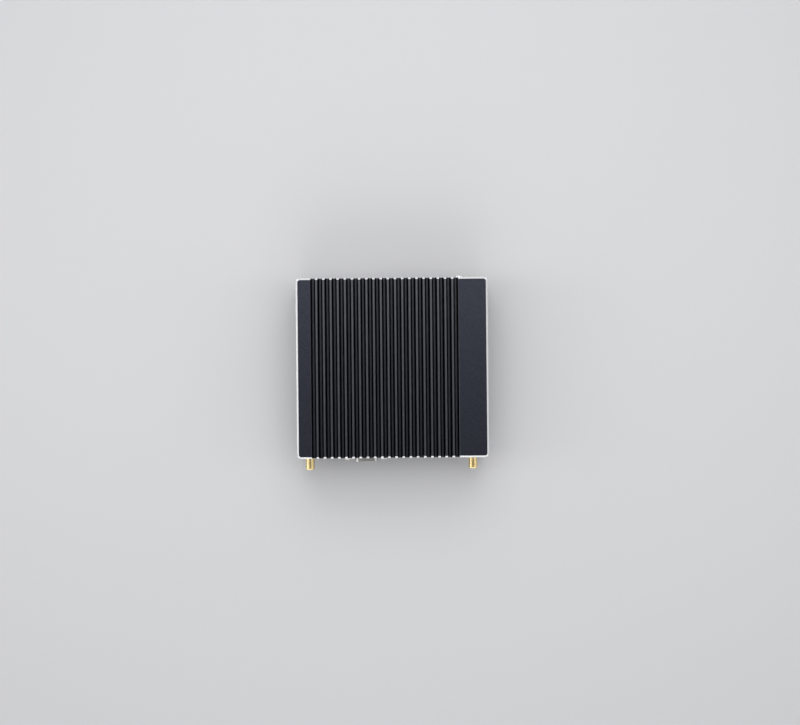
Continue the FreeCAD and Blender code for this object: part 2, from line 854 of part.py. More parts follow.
def lan_bay(x, y0, y1):
    """T-shaped plug bay: the wide part for the plug, the narrow step below for its latch."""
    top = board_bottom - lan_bay_drop
    low = top - lan_bay_height
    a = lan_bay_width / 2
    b = lan_latch_width / 2
    return section_xz([(x - a, top), (x + a, top), (x + a, low), (x + b, low),
                       (x + b, low - lan_latch_height), (x - b, low - lan_latch_height),
                       (x - b, low), (x - a, low)], y0, y1)


def lan_body(x, inset):
    return block(x - lan_width / 2 + inset, x + lan_width / 2 - inset,
                 panel_outer - lan_depth + inset, panel_outer - inset,
                 board_bottom - lan_height + inset, board_bottom - inset)


def lan_windows(x, inset, y0, y1):
    """The two indicator windows below the bay, either side of the latch step."""
    low = board_bottom - lan_height + lan_wall + lan_light_margin
    windows = []
    for s in (-1, 1):
        middle = x + s * (lan_width / 2 - lan_wall - lan_light_margin - lan_light_width / 2)
        windows.append(block(middle - lan_light_width / 2 + inset, middle + lan_light_width / 2 - inset,
                             y0, y1, low + inset, low + lan_light_height - inset))
    return windows


def lan_shells():
    shells = []
    for x in lan_xs:
        face = panel_outer - lan_wall
        openings = [lan_bay(x, face, panel_outer)] + lan_windows(x, 0, face, panel_outer)
        shells.append(lan_body(x, 0).cut([lan_body(x, lan_wall)] + openings))
    return group(shells)


def lan_inserts():
    face = panel_outer - lan_wall - slot_gap
    inserts = []
    for x in lan_xs:
        cuts = [lan_bay(x, panel_outer - lan_bay_depth, face)]
        cuts += lan_windows(x, 0, face - lan_light_depth, face)
        inserts.append(lan_body(x, lan_wall + slot_gap).cut(cuts))
    return group(inserts)


def lan_lights():
    face = panel_outer - lan_wall
    return group([light for x in lan_xs
                  for light in lan_windows(x, slot_gap, face - lan_light_depth, panel_outer)])


def lan_contacts():
    """Eight sprung wires in each bay, slanting down from its roof towards the back."""
    top = board_bottom - lan_bay_drop
    mouth = panel_outer - lan_pin_setback
    back = panel_outer - lan_bay_depth
    first = -(lan_pin_count - 1) * lan_pin_pitch / 2
    outline = [(mouth, top), (mouth, top - lan_pin_thickness), (back, top - lan_pin_fall),
               (back, top - lan_pin_fall + lan_pin_thickness)]
    wires = []
    for x in lan_xs:
        for i in range(lan_pin_count):
            left = x + first + i * lan_pin_pitch - lan_pin_width / 2
            wires.append(prism([point(left, y, z) for y, z in outline], point(lan_pin_width, 0, 0)))
    return group(wires)


# ================================================================ antenna jacks and leads
def antenna_jack(x):
    """Threaded barrel with its shoulder behind the panel; the nut in front clamps it."""
    front = case_end + jack_reach
    shoulder = panel_inner - jack_shoulder_length
    outline = [(0, shoulder), (jack_shoulder_radius, shoulder), (jack_shoulder_radius, panel_inner),
               (neck_radius, panel_inner), (neck_radius, nut_front), (thread_radius, nut_front),
               (thread_radius, front - jack_lip), (thread_radius - jack_lip, front),
               (jack_bore_radius, front), (jack_bore_radius, front - jack_bore_depth),
               (0, front - jack_bore_depth)]
    return turned_y(outline, x, control_z)


def antenna_jack_left():
    return antenna_jack(antenna_xs[0])


def antenna_jack_right():
    return antenna_jack(antenna_xs[1])


def antenna_nuts():
    """Hex nuts, each with its washer face against the panel."""
    nuts = []
    for x in antenna_xs:
        nut = polygon_y(6, nut_corner, x, control_z, panel_outer + nut_washer_face, nut_front)
        face = polygon_y(round_sides, washer_face_radius, x, control_z, panel_outer,
                         panel_outer + nut_washer_face)
        nuts.append(nut.fuse(face).removeSplitter()
                    .cut(along_y(neck_radius + press_gap, x, control_z, panel_outer, nut_front)))
    return group(nuts)


def antenna_insulators():
    """Plug of insulation at the bottom of each jack's bore."""
    back = case_end + jack_reach - jack_bore_depth
    return group([polygon_y(head_sides, jack_bore_radius, x, control_z, back, back + insulator_length)
                  for x in antenna_xs])


def antenna_contacts():
    """Centre pins, standing on the insulators."""
    back = case_end + jack_reach - jack_bore_depth + insulator_length
    return group([polygon_y(head_sides, contact_radius, x, control_z,
                            back, case_end + jack_reach - contact_recess) for x in antenna_xs])


def antenna_plug_places():
    """Where the two leads clip on to the free end of the radio card, on its underside."""
    x = radio_end + antenna_plug_inset
    return ((x, card_y + antenna_plug_spread), (x, card_y - antenna_plug_spread))


def antenna_plug(x, y):
    return polygon_z(head_sides, antenna_plug_radius, x, y, card_bottom - antenna_plug_height, card_bottom)


def bent_lead(route):
    """Thin lead along the route: straight runs joined by arcs as large as the runs allow."""
    edges = []
    bends = []
    start = route[0]
    for before, corner, after in zip(route, route[1:], route[2:]):
        back = before.sub(corner)
        ahead = after.sub(corner)
        reach = 0.45 * min(back.Length, ahead.Length)
        bend = reach / math.tan((math.pi - back.getAngle(ahead)) / 2)
        bends.append(round(bend, 1))
        first = corner.add(FreeCAD.Vector(back).normalize().multiply(reach))
        last = corner.add(FreeCAD.Vector(ahead).normalize().multiply(reach))
        inward = first.add(last).multiply(0.5).sub(corner).normalize()
        middle = corner.add(inward.multiply(math.sqrt(bend ** 2 + reach ** 2) - bend))
        edges.append(Part.LineSegment(start, first).toShape())
        edges.append(Part.Arc(first, middle, last).toShape())
        start = last
    edges.append(Part.LineSegment(start, route[-1]).toShape())
    path = Part.Wire(edges)
    along = route[1].sub(route[0]).normalize()
    side = along.cross(UP).normalize()
    up = side.cross(along)
    ring = []
    for a, b in corners(lead_sides, lead_radius):
        ring.append(route[0].add(FreeCAD.Vector(side).multiply(a)).add(FreeCAD.Vector(up).multiply(b)))
    wire = Part.makePolygon(ring + [ring[0]])
    solid = path.makePipeShell([wire], True, False)
    share = solid.Volume / (Part.Face(wire).Area * path.Length)
    print("lead: length %.1f, bend radii %s, volume ratio %.4f" % (path.Length, bends, share))
    return solid


def antenna_lead_left():
    """From the +X jack, behind the power inlet, to the nearer plug from the rear."""
    tail = panel_inner - jack_shoulder_length
    (x, y), _ = antenna_plug_places()
    z = card_bottom - antenna_plug_height / 2
    start = antenna_xs[0]
    route = [point(start, tail, control_z), point(start, tail - 14, control_z),
             point(start - 12, tail - 20.5, control_z + 0.3),
             point(x + 9, tail - 20.5, control_z + 0.8), point(x, y + 9, z - 0.2),
             point(x, y + antenna_plug_radius + lead_gap, z)]
    return group([bent_lead(route), antenna_plug(x, y)])


def antenna_lead_right():
    """From the -X jack, across behind the network sockets, to the farther plug."""
    tail = panel_inner - jack_shoulder_length
    _, (x, y) = antenna_plug_places()
    z = card_bottom - antenna_plug_height / 2
    start = antenna_xs[1]
    route = [point(start, tail, control_z), point(start, tail - 13, control_z),
             point(start + 14, tail - 19.5, control_z - 0.3),
             point(start + 38, tail - 20.5, control_z + 0.3),
             point(x - 22, tail - 25, control_z + 0.4), point(x - 16, y + 3, z - 1.2),
             point(x - antenna_plug_radius - lead_gap, y, z)]
    return group([bent_lead(route), antenna_plug(x, y)])


# ================================================================ main board and what it carries
def motherboard():
    board = block(-board_side, board_side, -board_end, board_end, board_bottom, board_top)
    return board.cut([shank_z(x, y, board_bottom, board_top, screw_hole_clearance)
                      for x, y in board_holes()])


def processor():
    """Package on the board with its bare die on top."""
    z = board_top + package_thickness
    package = slab(chip_x, chip_y, package_width, package_depth, board_top, z)
    return group([package, slab(chip_x, chip_y, die_width, die_depth, z, z + die_thickness)])


def thermal_pad():
    z = board_top + package_thickness + die_thickness
    return slab(chip_x, chip_y, die_width + pad_margin, die_depth + pad_margin, z, z + pad_thickness)


def heat_block():
    """Copper block clamped between the pad and its pocket in the roof."""
    z = board_top + package_thickness + die_thickness + pad_thickness
    return slab(chip_x, chip_y, block_size, block_size, z, roof_bottom + block_pocket)


def module_levels():
    top = board_bottom - module_drop
    return top - module_thickness, top


def memory_chips():
    """Chips on both faces of the memory module."""
    low, top = module_levels()
    y = memory_front + memory_socket_depth - module_insertion + module_chip_row
    pitch = module_width / module_chip_count
    first = memory_x - pitch * (module_chip_count - 1) / 2
    chips = []
    for i in range(module_chip_count):
        x = first + i * pitch
        chips.append(slab(x, y, module_chip_width, module_chip_depth, low - module_chip_thickness, low))
        chips.append(slab(x, y, module_chip_width, module_chip_depth, top, top + module_chip_thickness))
    return chips


def memory_module():
    low, top = module_levels()
    front = memory_front + memory_socket_depth - module_insertion
    card = block(memory_x - module_width / 2, memory_x + module_width / 2, front, front + module_depth,
                 low, top)
    return group([card] + memory_chips())


def memory_socket():
    """Edge socket with the two arms that hold the module down."""
    back = memory_front + memory_socket_depth
    low = board_bottom - memory_socket_height
    half = memory_socket_width / 2
    body = block(memory_x - half, memory_x + half, memory_front, back, low, board_bottom)
    arms = []
    for s in (-1, 1):
        x0, x1 = sorted((memory_x + s * half, memory_x + s * (half - memory_arm_width)))
        arms.append(block(x0, x1, back, back + memory_arm_length, low, board_bottom))
    module_low, module_top = module_levels()
    slot = block(memory_x - module_width / 2 - slot_gap, memory_x + module_width / 2 + slot_gap,
                 back - module_insertion - slot_gap, back, module_low - slot_gap, module_top + slot_gap)
    return body.fuse(arms).removeSplitter().cut(slot)


def storage_card():
    """Storage card with its row of memory chips underneath."""
    card = block(storage_start, storage_end, card_y - card_width / 2, card_y + card_width / 2,
                 card_bottom, card_top)
    first = storage_start + card_insertion + storage_chip_pitch / 2
    chips = [slab(first + i * storage_chip_pitch, card_y, storage_chip_width, storage_chip_depth,
                  card_bottom - storage_chip_thickness, card_bottom) for i in range(storage_chip_count)]
    return group([card] + chips)


def radio_card():
    """Radio card with its shielding can underneath."""
    card = block(radio_end, radio_start, card_y - card_width / 2, card_y + card_width / 2,
                 card_bottom, card_top)
    x = radio_start - card_insertion - radio_can_margin - radio_can_length / 2
    return group([card, slab(x, card_y, radio_can_length, radio_can_width,
                             card_bottom - radio_can_height, card_bottom)])


def card_sockets():
    """Edge sockets of the storage card (-X) and the radio card (+X)."""
    sockets = []
    for side in (-1, 1):
        outer = board_side - card_socket_inset
        inner = outer - card_socket_depth
        x0, x1 = sorted((side * outer, side * inner))
        body = block(x0, x1, card_y - card_width / 2 - card_socket_side,
                     card_y + card_width / 2 + card_socket_side,
                     board_bottom - card_socket_height, board_bottom)
        s0, s1 = sorted((side * (inner + card_insertion + slot_gap), side * inner))
        sockets.append(body.cut(block(s0, s1, card_y - card_width / 2 - slot_gap,
                                      card_y + card_width / 2 + slot_gap,
                                      card_bottom - slot_gap, card_top + slot_gap)))
    return group(sockets)


def card_latches():
    """Moulded catches on the board that hook under the free end of each card."""
    catches = []
    for end, way in ((storage_end, 1), (radio_end, -1)):
        for s in (-1, 1):
            y0 = card_y + s * latch_spacing / 2 - latch_width / 2
            outline = [(end + way * slot_gap, card_top), (end + way * slot_gap, card_bottom - slot_gap),
                       (end - way * latch_hook, card_bottom - slot_gap),
                       (end + way * latch_thickness / 2, card_bottom - latch_nose),
                       (end + way * latch_thickness, card_bottom - slot_gap),
                       (end + way * latch_thickness, board_bottom),
                       (end - way * latch_hook, board_bottom), (end - way * latch_hook, card_top)]
            catches.append(section_xz(outline, y0, y0 + latch_width))
    return group(catches)


def coin_cell():
    top = board_bottom - holder_floor
    return polygon_z(round_sides, cell_radius, cell_x, cell_y, top - cell_thickness, top)


def battery_holder():
    """Square holder, floor on the board, with a round pocket open at one side."""
    low = board_bottom - holder_height
    top = board_bottom - holder_floor
    inner = cell_radius + cell_gap
    side = 2 * (inner + holder_wall)
    cup = slab(cell_x, cell_y, side, side, low, board_bottom)
    return cup.cut([polygon_z(round_sides, inner, cell_x, cell_y, low, top),
                    block(cell_x - holder_notch / 2, cell_x + holder_notch / 2,
                          cell_y - side / 2, cell_y, low, top)])


def power_coils():
    """Row of square inductors on top of the board, beside the heat block."""
    x = chip_x + block_size / 2 + coil_gap + coil_size / 2
    first = chip_y - (coil_count - 1) * coil_pitch / 2
    coils = []
    for i in range(coil_count):
        coil = slab(x, first + i * coil_pitch, coil_size, coil_size, board_top, board_top + coil_height)
        coils.append(coil.makeChamfer(coil_edge, edges_along(coil, UP)))
    return group(coils)


def capacitor_cans():
    """Row of surface-mount cans by the memory socket's -X end."""
    y = memory_front - can_radius
    base = board_bottom - can_base
    cans = []
    for i in range(can_count):
        x = -board_side + can_first + i * can_pitch
        foot = slab(x, y, 2 * can_radius, 2 * can_radius, base, board_bottom)
        can = polygon_z(head_sides, can_radius, x, y, board_bottom - can_height, base)
        cans.append(foot.fuse(can).removeSplitter())
    return group(cans)


def lan_filters():
    """Line transformers on the board behind the network sockets."""
    y = panel_outer - lan_depth - lan_filter_gap - lan_filter_depth / 2
    return group([slab(x, y, lan_filter_width, lan_filter_depth, board_bottom - lan_filter_height,
                       board_bottom) for x in lan_xs])


# ================================================================ all parts
PARTS = [
    main_housing, front_panel, rear_panel, bottom_cover, rubber_feet, cover_screws,
    front_panel_screws, rear_panel_screws, board_screws,
    power_button, power_button_bezel, power_switch, switch_post, switch_board, light_pipes,
    usb_shells, usb_inserts, usb_tongues_blue, usb_tongues_black, audio_jacks,
    power_inlet, power_inlet_pin, vga_shell, vga_insert, vga_jackscrews, hdmi_shell, hdmi_tongue,
    lan_shells, lan_inserts, lan_lights, lan_contacts,
    antenna_jack_left, antenna_jack_right, antenna_nuts, antenna_insulators, antenna_contacts,
    antenna_lead_left, antenna_lead_right,
    motherboard, processor, thermal_pad, heat_block, memory_socket, memory_module,
    card_sockets, card_latches, storage_card, radio_card, coin_cell, battery_holder,
    power_coils, capacitor_cans, lan_filters,
]

os.makedirs("parts", exist_ok=True)
for make in PARTS:
    make().exportStep("parts/%s.step" % make.__name__)
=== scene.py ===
import bpy
import bmesh
import math
from mathutils import Matrix, Vector


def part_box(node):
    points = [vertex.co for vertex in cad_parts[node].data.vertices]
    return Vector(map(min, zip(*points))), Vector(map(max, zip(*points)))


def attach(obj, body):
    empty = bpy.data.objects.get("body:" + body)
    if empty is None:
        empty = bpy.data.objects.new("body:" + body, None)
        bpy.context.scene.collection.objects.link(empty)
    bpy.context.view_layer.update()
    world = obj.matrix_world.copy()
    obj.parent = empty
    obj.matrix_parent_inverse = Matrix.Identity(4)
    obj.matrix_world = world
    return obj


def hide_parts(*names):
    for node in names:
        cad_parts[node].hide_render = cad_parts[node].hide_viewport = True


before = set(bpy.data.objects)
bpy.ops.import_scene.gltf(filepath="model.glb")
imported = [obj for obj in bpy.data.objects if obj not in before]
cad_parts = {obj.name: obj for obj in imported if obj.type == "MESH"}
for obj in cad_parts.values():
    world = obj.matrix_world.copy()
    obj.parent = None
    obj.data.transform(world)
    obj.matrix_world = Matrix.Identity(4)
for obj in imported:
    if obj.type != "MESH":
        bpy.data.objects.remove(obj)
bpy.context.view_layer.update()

# Fanless mini pc in a finned aluminium case: finishes, round and threaded parts, light and camera.
# Shapes are worked in millimetres and brought to metres as each piece is finished.

X, Y, Z = Vector((1, 0, 0)), Vector((0, 1, 0)), Vector((0, 0, 1))


def reach(node):
    """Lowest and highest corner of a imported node, in millimetres."""
    low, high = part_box(node)
    return low * 1000, high * 1000


def centre_of(node):
    low, high = reach(node)
    return (low + high) / 2


def pair(node, half):
    """Centres in X of two alike parts in one node, each reaching half to either side."""
    low, high = reach(node)
    return low.x + half, high.x - half


case_low, case_high = reach("main_housing")
cover_low, cover_high = reach("bottom_cover")
panel_low, panel_high = reach("rear_panel")
usb_low, usb_high = reach("usb_shells")
lan_low, lan_high = reach("lan_shells")

# case
REAR_FACE = panel_high.y
PANEL_BACK = panel_low.y
PANEL_THICKNESS = 2.0
CASE_TOP = case_high.z
EDGE_CUT = 1.2                      # bright-cut edge round the top of the case
CORNER = 3.0
PLAIN_NARROW, PLAIN_WIDE = 10.2, 20.5
FIN_FOOT = 31.0
WALL_MOUNT = 75.0
WALL_MOUNT_RADIUS = 1.65
VENT_COUNT, VENT_PITCH, VENT_INSET = 6, 7.0, 14.0
VENT_WIDTH, VENT_LENGTH = 2.5, 14.0
FOOT_X, FOOT_Y = 52, 48
FOOT_RADIUS = 6.0

# screws
SCREW_X = 60.5
COVER_SCREW_Y = 53.3
PANEL_SCREW_Z = (6.15, 24.0)
SCREW_HOLE_RADIUS = 1.65
SHANK_RADIUS = 1.45
SHANK_TIP_RADIUS = 1.2
HEX_FLATS = 2.0

# front
CONTROL_HEIGHT = 15.0               # axis of the button and of the antenna jacks
BUTTON_RADIUS = 2.75
BUTTON_COLLAR_RADIUS = 3.55
RING_RADIUS = 4.45
BARREL_RADIUS = 3.58
BUTTON_HOLE_RADIUS = BARREL_RADIUS + 0.02
LIGHT_RADIUS, LIGHT_HOLE_RADIUS = 1.18, 1.25
LIGHT_X = pair("light_pipes", 1.14)
AUDIO_HALF = 3.2
AUDIO_X = pair("audio_jacks", AUDIO_HALF)
AUDIO_Z = 14.5
AUDIO_BORE_RADIUS, AUDIO_HOLE_RADIUS = 1.8, 3.1
USB_HALF = 7.25
USB_X = pair("usb_shells", USB_HALF)

# rear
ANTENNA_X = (centre_of("antenna_jack_left").x, centre_of("antenna_jack_right").x)
ANTENNA_HOLE_RADIUS = 3.425
LAN_HALF = 8.0
LAN_X = pair("lan_shells", LAN_HALF)
VGA_X = centre_of("vga_shell").x
VGA_Z = centre_of("vga_shell").z
VGA_SCREW_SPACING = 25.0
VGA_SCREW_X = (VGA_X - VGA_SCREW_SPACING / 2, VGA_X + VGA_SCREW_SPACING / 2)
VGA_SCREW_HOLE_RADIUS = 1.6
VGA_PIN_PITCH, VGA_ROW_PITCH = 2.29, 1.98
D_WIDTH, D_HEIGHT, D_CORNER = 16.3, 8.2, 2.2
D_SLOPE = 10                        # degrees off the upright

SOCKET_GAP = 0.25                   # round a socket in its panel
OVERRUN = 5                         # how far a cutting tool reaches past a panel's face


# ---------------------------------------------------------------- finishes
def surface(name, colour, metal=0.0, rough=0.5, **sockets):
    """New material; gives its node tree and its shader."""
    material = bpy.data.materials.new(name)
    material.use_nodes = True
    material.diffuse_color = (*colour, 1)
    tree = material.node_tree
    shader = tree.nodes["Principled BSDF"]
    shader.inputs["Base Color"].default_value = (*colour, 1)
    shader.inputs["Metallic"].default_value = metal
    shader.inputs["Roughness"].default_value = rough
    for socket, value in sockets.items():
        shader.inputs[socket.replace("_", " ")].default_value = value
    return material, tree, shader


def coordinates(tree, stretch=(1, 1, 1), shift=(0, 0, 0)):
    """Object coordinates, stretched and then shifted."""
    place = tree.nodes.new("ShaderNodeTexCoord")
    mapping = tree.nodes.new("ShaderNodeMapping")
    mapping.inputs["Scale"].default_value = stretch
    mapping.inputs["Location"].default_value = shift
    tree.links.new(place.outputs["Object"], mapping.inputs["Vector"])
    return mapping.outputs["Vector"]


def grain(tree, size, stretch=(1, 1, 1), detail=3.0):
    """Noise whose features are about size millimetres across."""
    noise = tree.nodes.new("ShaderNodeTexNoise")
    noise.inputs["Scale"].default_value = 1000 / size
    noise.inputs["Detail"].default_value = detail
    tree.links.new(coordinates(tree, stretch), noise.inputs["Vector"])
    return noise.outputs["Fac"]


def shades(tree, factor, low, high, start=0.3, end=0.7):
    """Colour that runs from low to high with the factor."""
    ramp = tree.nodes.new("ShaderNodeValToRGB")
    ramp.color_ramp.elements[0].position = start
    ramp.color_ramp.elements[1].position = end
    ramp.color_ramp.elements[0].color = (*low, 1)
    ramp.color_ramp.elements[1].color = (*high, 1)
    tree.links.new(factor, ramp.inputs["Fac"])
    return ramp.outputs["Color"]


def blend(tree, factor, first, second):
    """Mix of two colours; each of the three is a socket or a plain value."""
    mix = tree.nodes.new("ShaderNodeMix")
    mix.data_type = "RGBA"
    for socket, given in (("Factor", factor), ("A", first), ("B", second)):
        if isinstance(given, float):
            mix.inputs[socket].default_value = given
        elif isinstance(given, tuple):
            mix.inputs[socket].default_value = (*given, 1)
        else:
            tree.links.new(given, mix.inputs[socket])
    return mix.outputs["Result"]


def spread(tree, factor, low, high):
    """Number that runs from low to high with the factor."""
    span = tree.nodes.new("ShaderNodeMapRange")
    span.inputs["From Min"].default_value = 0.3
    span.inputs["From Max"].default_value = 0.7
    span.inputs["To Min"].default_value = low
    span.inputs["To Max"].default_value = high
    tree.links.new(factor, span.inputs["Value"])
    return span.outputs["Result"]


def relief(tree, shader, height, depth, strength=1.0):
    """Bump of about depth millimetres."""
    bump = tree.nodes.new("ShaderNodeBump")
    bump.inputs["Strength"].default_value = strength
    bump.inputs["Distance"].default_value = depth / 1000
    tree.links.new(height, bump.inputs["Height"])
    tree.links.new(bump.outputs["Normal"], shader.inputs["Normal"])


def blasted_anodise(name, low, high, rough, metal=1.0, **sockets):
    """Bead-blasted and dyed aluminium: fine pits, and a dye that varies a little."""
    material, tree, shader = surface(name, high, metal=metal, **sockets)
    shader.inputs["Specular Tint"].default_value = (0.5, 0.5, 0.5, 1)
    cloud = shades(tree, grain(tree, 9.0), low, high, 0.25, 0.75)
    mottle = shades(tree, grain(tree, 1.4, detail=4.0), [c * 0.88 for c in low],
                    [c * 1.11 for c in high], 0.35, 0.65)
    dye = blend(tree, 0.5, cloud, mottle)
    tree.links.new(dye, shader.inputs["Base Color"])
    tree.links.new(spread(tree, grain(tree, 5.0), *rough), shader.inputs["Roughness"])
    relief(tree, shader, grain(tree, 0.32, detail=2.0), 0.02, 0.6)
    return material


def cut_metal(name, colour, rough, stretch, mark=0.35, depth=0.004, tone=0.9):
    """Bare metal with fine tool marks drawn out along one direction."""
    material, tree, shader = surface(name, colour, metal=1.0, rough=rough)
    marks = grain(tree, mark, stretch, detail=4.0)
    tree.links.new(shades(tree, marks, [c * tone for c in colour], colour),
                   shader.inputs["Base Color"])
    tree.links.new(spread(tree, marks, rough * 0.8, rough * 1.25), shader.inputs["Roughness"])
    relief(tree, shader, marks, depth, 0.4)
    return material


def turned_metal(name, colour, rough, centre, mark=0.12):
    """Metal faced on a lathe: fine rings about an axis along Y through centre (x, z in mm)."""
    material, tree, shader = surface(name, colour, metal=1.0, rough=rough)
    wave = tree.nodes.new("ShaderNodeTexWave")
    wave.wave_type = "RINGS"
    wave.rings_direction = "Y"
    wave.inputs["Scale"].default_value = 1000 / mark / 20
    wave.inputs["Distortion"].default_value = 0.6
    shift = (-centre[0] / 1000, 0, -centre[1] / 1000)
    tree.links.new(coordinates(tree, shift=shift), wave.inputs["Vector"])
    rings = wave.outputs["Fac"]
    tree.links.new(shades(tree, rings, [c * 0.9 for c in colour], colour, 0.1, 0.9),
                   shader.inputs["Base Color"])
    relief(tree, shader, rings, 0.006, 0.4)
    return material


def moulded(name, colour, rough=0.45, size=0.25, depth=0.006, vary=0.85):
    """Moulded plastic or rubber with a fine texture."""
    material, tree, shader = surface(name, colour, rough=rough)
    skin = grain(tree, size, detail=2.0)
    tree.links.new(shades(tree, skin, [c * vary for c in colour], colour),
                   shader.inputs["Base Color"])
    tree.links.new(spread(tree, grain(tree, 4.0), rough * 0.9, rough * 1.1),
                   shader.inputs["Roughness"])
    relief(tree, shader, skin, depth, 0.5)
    return material


def cell_distance(tree, size, metric="EUCLIDEAN"):
    """Distance to the nearest of points strewn about size millimetres apart."""
    cells = tree.nodes.new("ShaderNodeTexVoronoi")
    cells.distance = metric
    cells.inputs["Scale"].default_value = 1000 / size
    tree.links.new(coordinates(tree), cells.inputs["Vector"])
    return cells.outputs["Distance"]


def reckon(tree, operation, value, number):
    """Operation of a math node on a socket and a plain number."""
    node = tree.nodes.new("ShaderNodeMath")
    node.operation = operation
    node.inputs[1].default_value = number
    tree.links.new(value, node.inputs[0])
    return node.outputs["Value"]


def coated_board(name, mask, copper):
    """Circuit board: solder resist over copper runs, with bare pads scattered in it."""
    material, tree, shader = surface(name, mask, rough=0.32, Coat_Weight=0.25)
    bands = reckon(tree, "PINGPONG", cell_distance(tree, 5.5, "MANHATTAN"), 0.09)
    raised = reckon(tree, "GREATER_THAN", bands, 0.05)
    covered = [m * 0.6 + c * 0.16 for m, c in zip(mask, copper)]
    runs = shades(tree, raised, mask, covered, 0, 1)
    pads = reckon(tree, "LESS_THAN", cell_distance(tree, 2.6), 0.13)
    bare_tin = (0.55, 0.55, 0.52)
    tree.links.new(blend(tree, pads, runs, bare_tin), shader.inputs["Base Color"])
    relief(tree, shader, raised, 0.03, 0.4)
    return material


def clear_lens(name, colour):
    """Moulded clear plastic, a little hazy."""
    material, tree, shader = surface(name, colour, rough=0.12, Transmission_Weight=0.35, IOR=1.49)
    haze = grain(tree, 0.6)
    tree.links.new(shades(tree, haze, [c * 0.92 for c in colour], colour),
                   shader.inputs["Base Color"])
    return material


ANODISE = blasted_anodise("case_anodise", (0.042, 0.045, 0.059), (0.046, 0.049, 0.065),
                          (0.35, 0.37))
# Painted light: the fin tops are the case's own anodise made lighter, standing in for the light
# that falls on them.
FIN_TOPS_PAINTED_LIGHT = blasted_anodise("fin_top_painted_light", (0.091, 0.093, 0.104), (0.100, 0.103, 0.115),
                           (0.35, 0.37))
# Painted shade: the groove walls are the case's anodise made nearly black, dull and without metal,
# standing in for the shade between the fins.
GROOVE_WALLS_PAINTED_SHADE = blasted_anodise("groove_wall_painted_shade", (0.001, 0.0012, 0.003),
                               (0.0015, 0.0018, 0.0045), (0.65, 0.75), 0.0,
                               Specular_IOR_Level=0.08)
# Painted light: the groove floors are the case's anodise made a little lighter, standing in for the
# light that reaches down between the fins.
GROOVE_FLOORS_PAINTED_LIGHT = blasted_anodise("groove_floor_painted_light", (0.054, 0.056, 0.066),
                                (0.061, 0.063, 0.075), (0.40, 0.45))
COVER = blasted_anodise("cover_anodise", (0.040, 0.043, 0.054), (0.046, 0.049, 0.062),
                        (0.38, 0.42))
BRIGHT_CUT = cut_metal("bright_cut_edge", (0.93, 0.93, 0.94), 0.20, (1, 1, 8), 0.5, 0.0015)
PANEL = blasted_anodise("panel_anodise", (0.026, 0.026, 0.028), (0.031, 0.031, 0.033), (0.38, 0.42))
BLACK_STEEL = cut_metal("black_oxide_steel", (0.075, 0.075, 0.08), 0.38, (1, 1, 1), 0.4)
NICKEL = cut_metal("satin_nickel", (0.60, 0.59, 0.57), 0.36, (1, 6, 1), 0.12, 0.001, 0.93)
INNER_STEEL = cut_metal("plated_steel", (0.66, 0.66, 0.65), 0.28, (1, 1, 1), 0.2, 0.002, 0.95)
CHROME = cut_metal("satin_chrome", (0.70, 0.70, 0.71), 0.16, (1, 6, 1), 0.5, 0.002)
GOLD = cut_metal("gold_plating", (0.80, 0.66, 0.36), 0.24, (1, 1, 1), 0.15, 0.0008, 0.95)
RUBBER = moulded("foot_rubber", (0.022, 0.022, 0.023), 0.82, 0.35, 0.015)
BLACK_PLASTIC = moulded("black_plastic", (0.018, 0.018, 0.019))
BLUE_PLASTIC = moulded("blue_plastic", (0.02, 0.13, 0.55))
VGA_BLUE = moulded("dark_blue_plastic", (0.018, 0.055, 0.30))
WHITE_PLASTIC = moulded("white_insulation", (0.78, 0.78, 0.75), 0.35)
JACKET = moulded("lead_jacket", (0.03, 0.03, 0.03), 0.5)
CARBON_CHIP = moulded("chip_package", (0.03, 0.03, 0.032), 0.4, 0.15, 0.004)
FERRITE = moulded("pressed_ferrite", (0.07, 0.07, 0.075), 0.6, 0.2, 0.01)
PAD = moulded("thermal_pad", (0.30, 0.30, 0.31), 0.7)
BOARD = coated_board("circuit_board", (0.012, 0.075, 0.035), (0.9, 0.55, 0.25))
COPPER = cut_metal("milled_copper", (0.85, 0.42, 0.26), 0.3, (1, 20, 1), 0.6)
CAN_METAL = cut_metal("can_aluminium", (0.78, 0.78, 0.79), 0.3, (1, 1, 1), 0.6)
CLEAR = clear_lens("clear_lens", (0.42, 0.47, 0.50))
AMBER = clear_lens("amber_lens", (0.75, 0.42, 0.05))
GREEN = clear_lens("green_lens", (0.12, 0.55, 0.12))


# ---------------------------------------------------------------- shapes
def outward(bm):
    bmesh.ops.recalc_face_normals(bm, faces=bm.faces)
    return bm


def block(low, high):
    bm = bmesh.new()
    bmesh.ops.create_cube(bm, size=1)
    low, high = Vector(low), Vector(high)
    bmesh.ops.scale(bm, vec=high - low, verts=bm.verts)
    bmesh.ops.translate(bm, vec=(high + low) / 2, verts=bm.verts)
    return bm


def bar(sides, radius, start, direction, length, far_radius=None):
    """Prism or cone from start along direction."""
    bm = bmesh.new()
    far = radius if far_radius is None else far_radius
    bmesh.ops.create_cone(bm, cap_ends=True, segments=sides, radius1=radius, radius2=far,
                          depth=length)
    bmesh.ops.translate(bm, vec=(0, 0, length / 2), verts=bm.verts)
    aim = Vector(direction).to_track_quat("Z", "Y").to_matrix()
    bmesh.ops.rotate(bm, matrix=aim, verts=bm.verts)
    bmesh.ops.translate(bm, vec=start, verts=bm.verts)
    return bm


def turned(profile, start, direction, steps=48):
    """Spins (radius, distance) pairs about the line from start; a closed profile makes a ring."""
    bm = bmesh.new()
    axis = Vector(direction).normalized()
    out = axis.orthogonal().normalized()
    ring = profile[0] == profile[-1]
    points = profile[:-1] if ring else profile
    verts = [bm.verts.new(Vector(start) + axis * along + out * radius) for radius, along in points]
    following = verts[1:] + verts[:1] if ring else verts[1:]
    edges = [bm.edges.new(pair) for pair in zip(verts, following)]
    bmesh.ops.spin(bm, geom=verts + edges, cent=start, axis=axis, angle=math.tau, steps=steps,
                   use_merge=True)
    bmesh.ops.remove_doubles(bm, verts=bm.verts, dist=1e-4)
    return outward(bm)


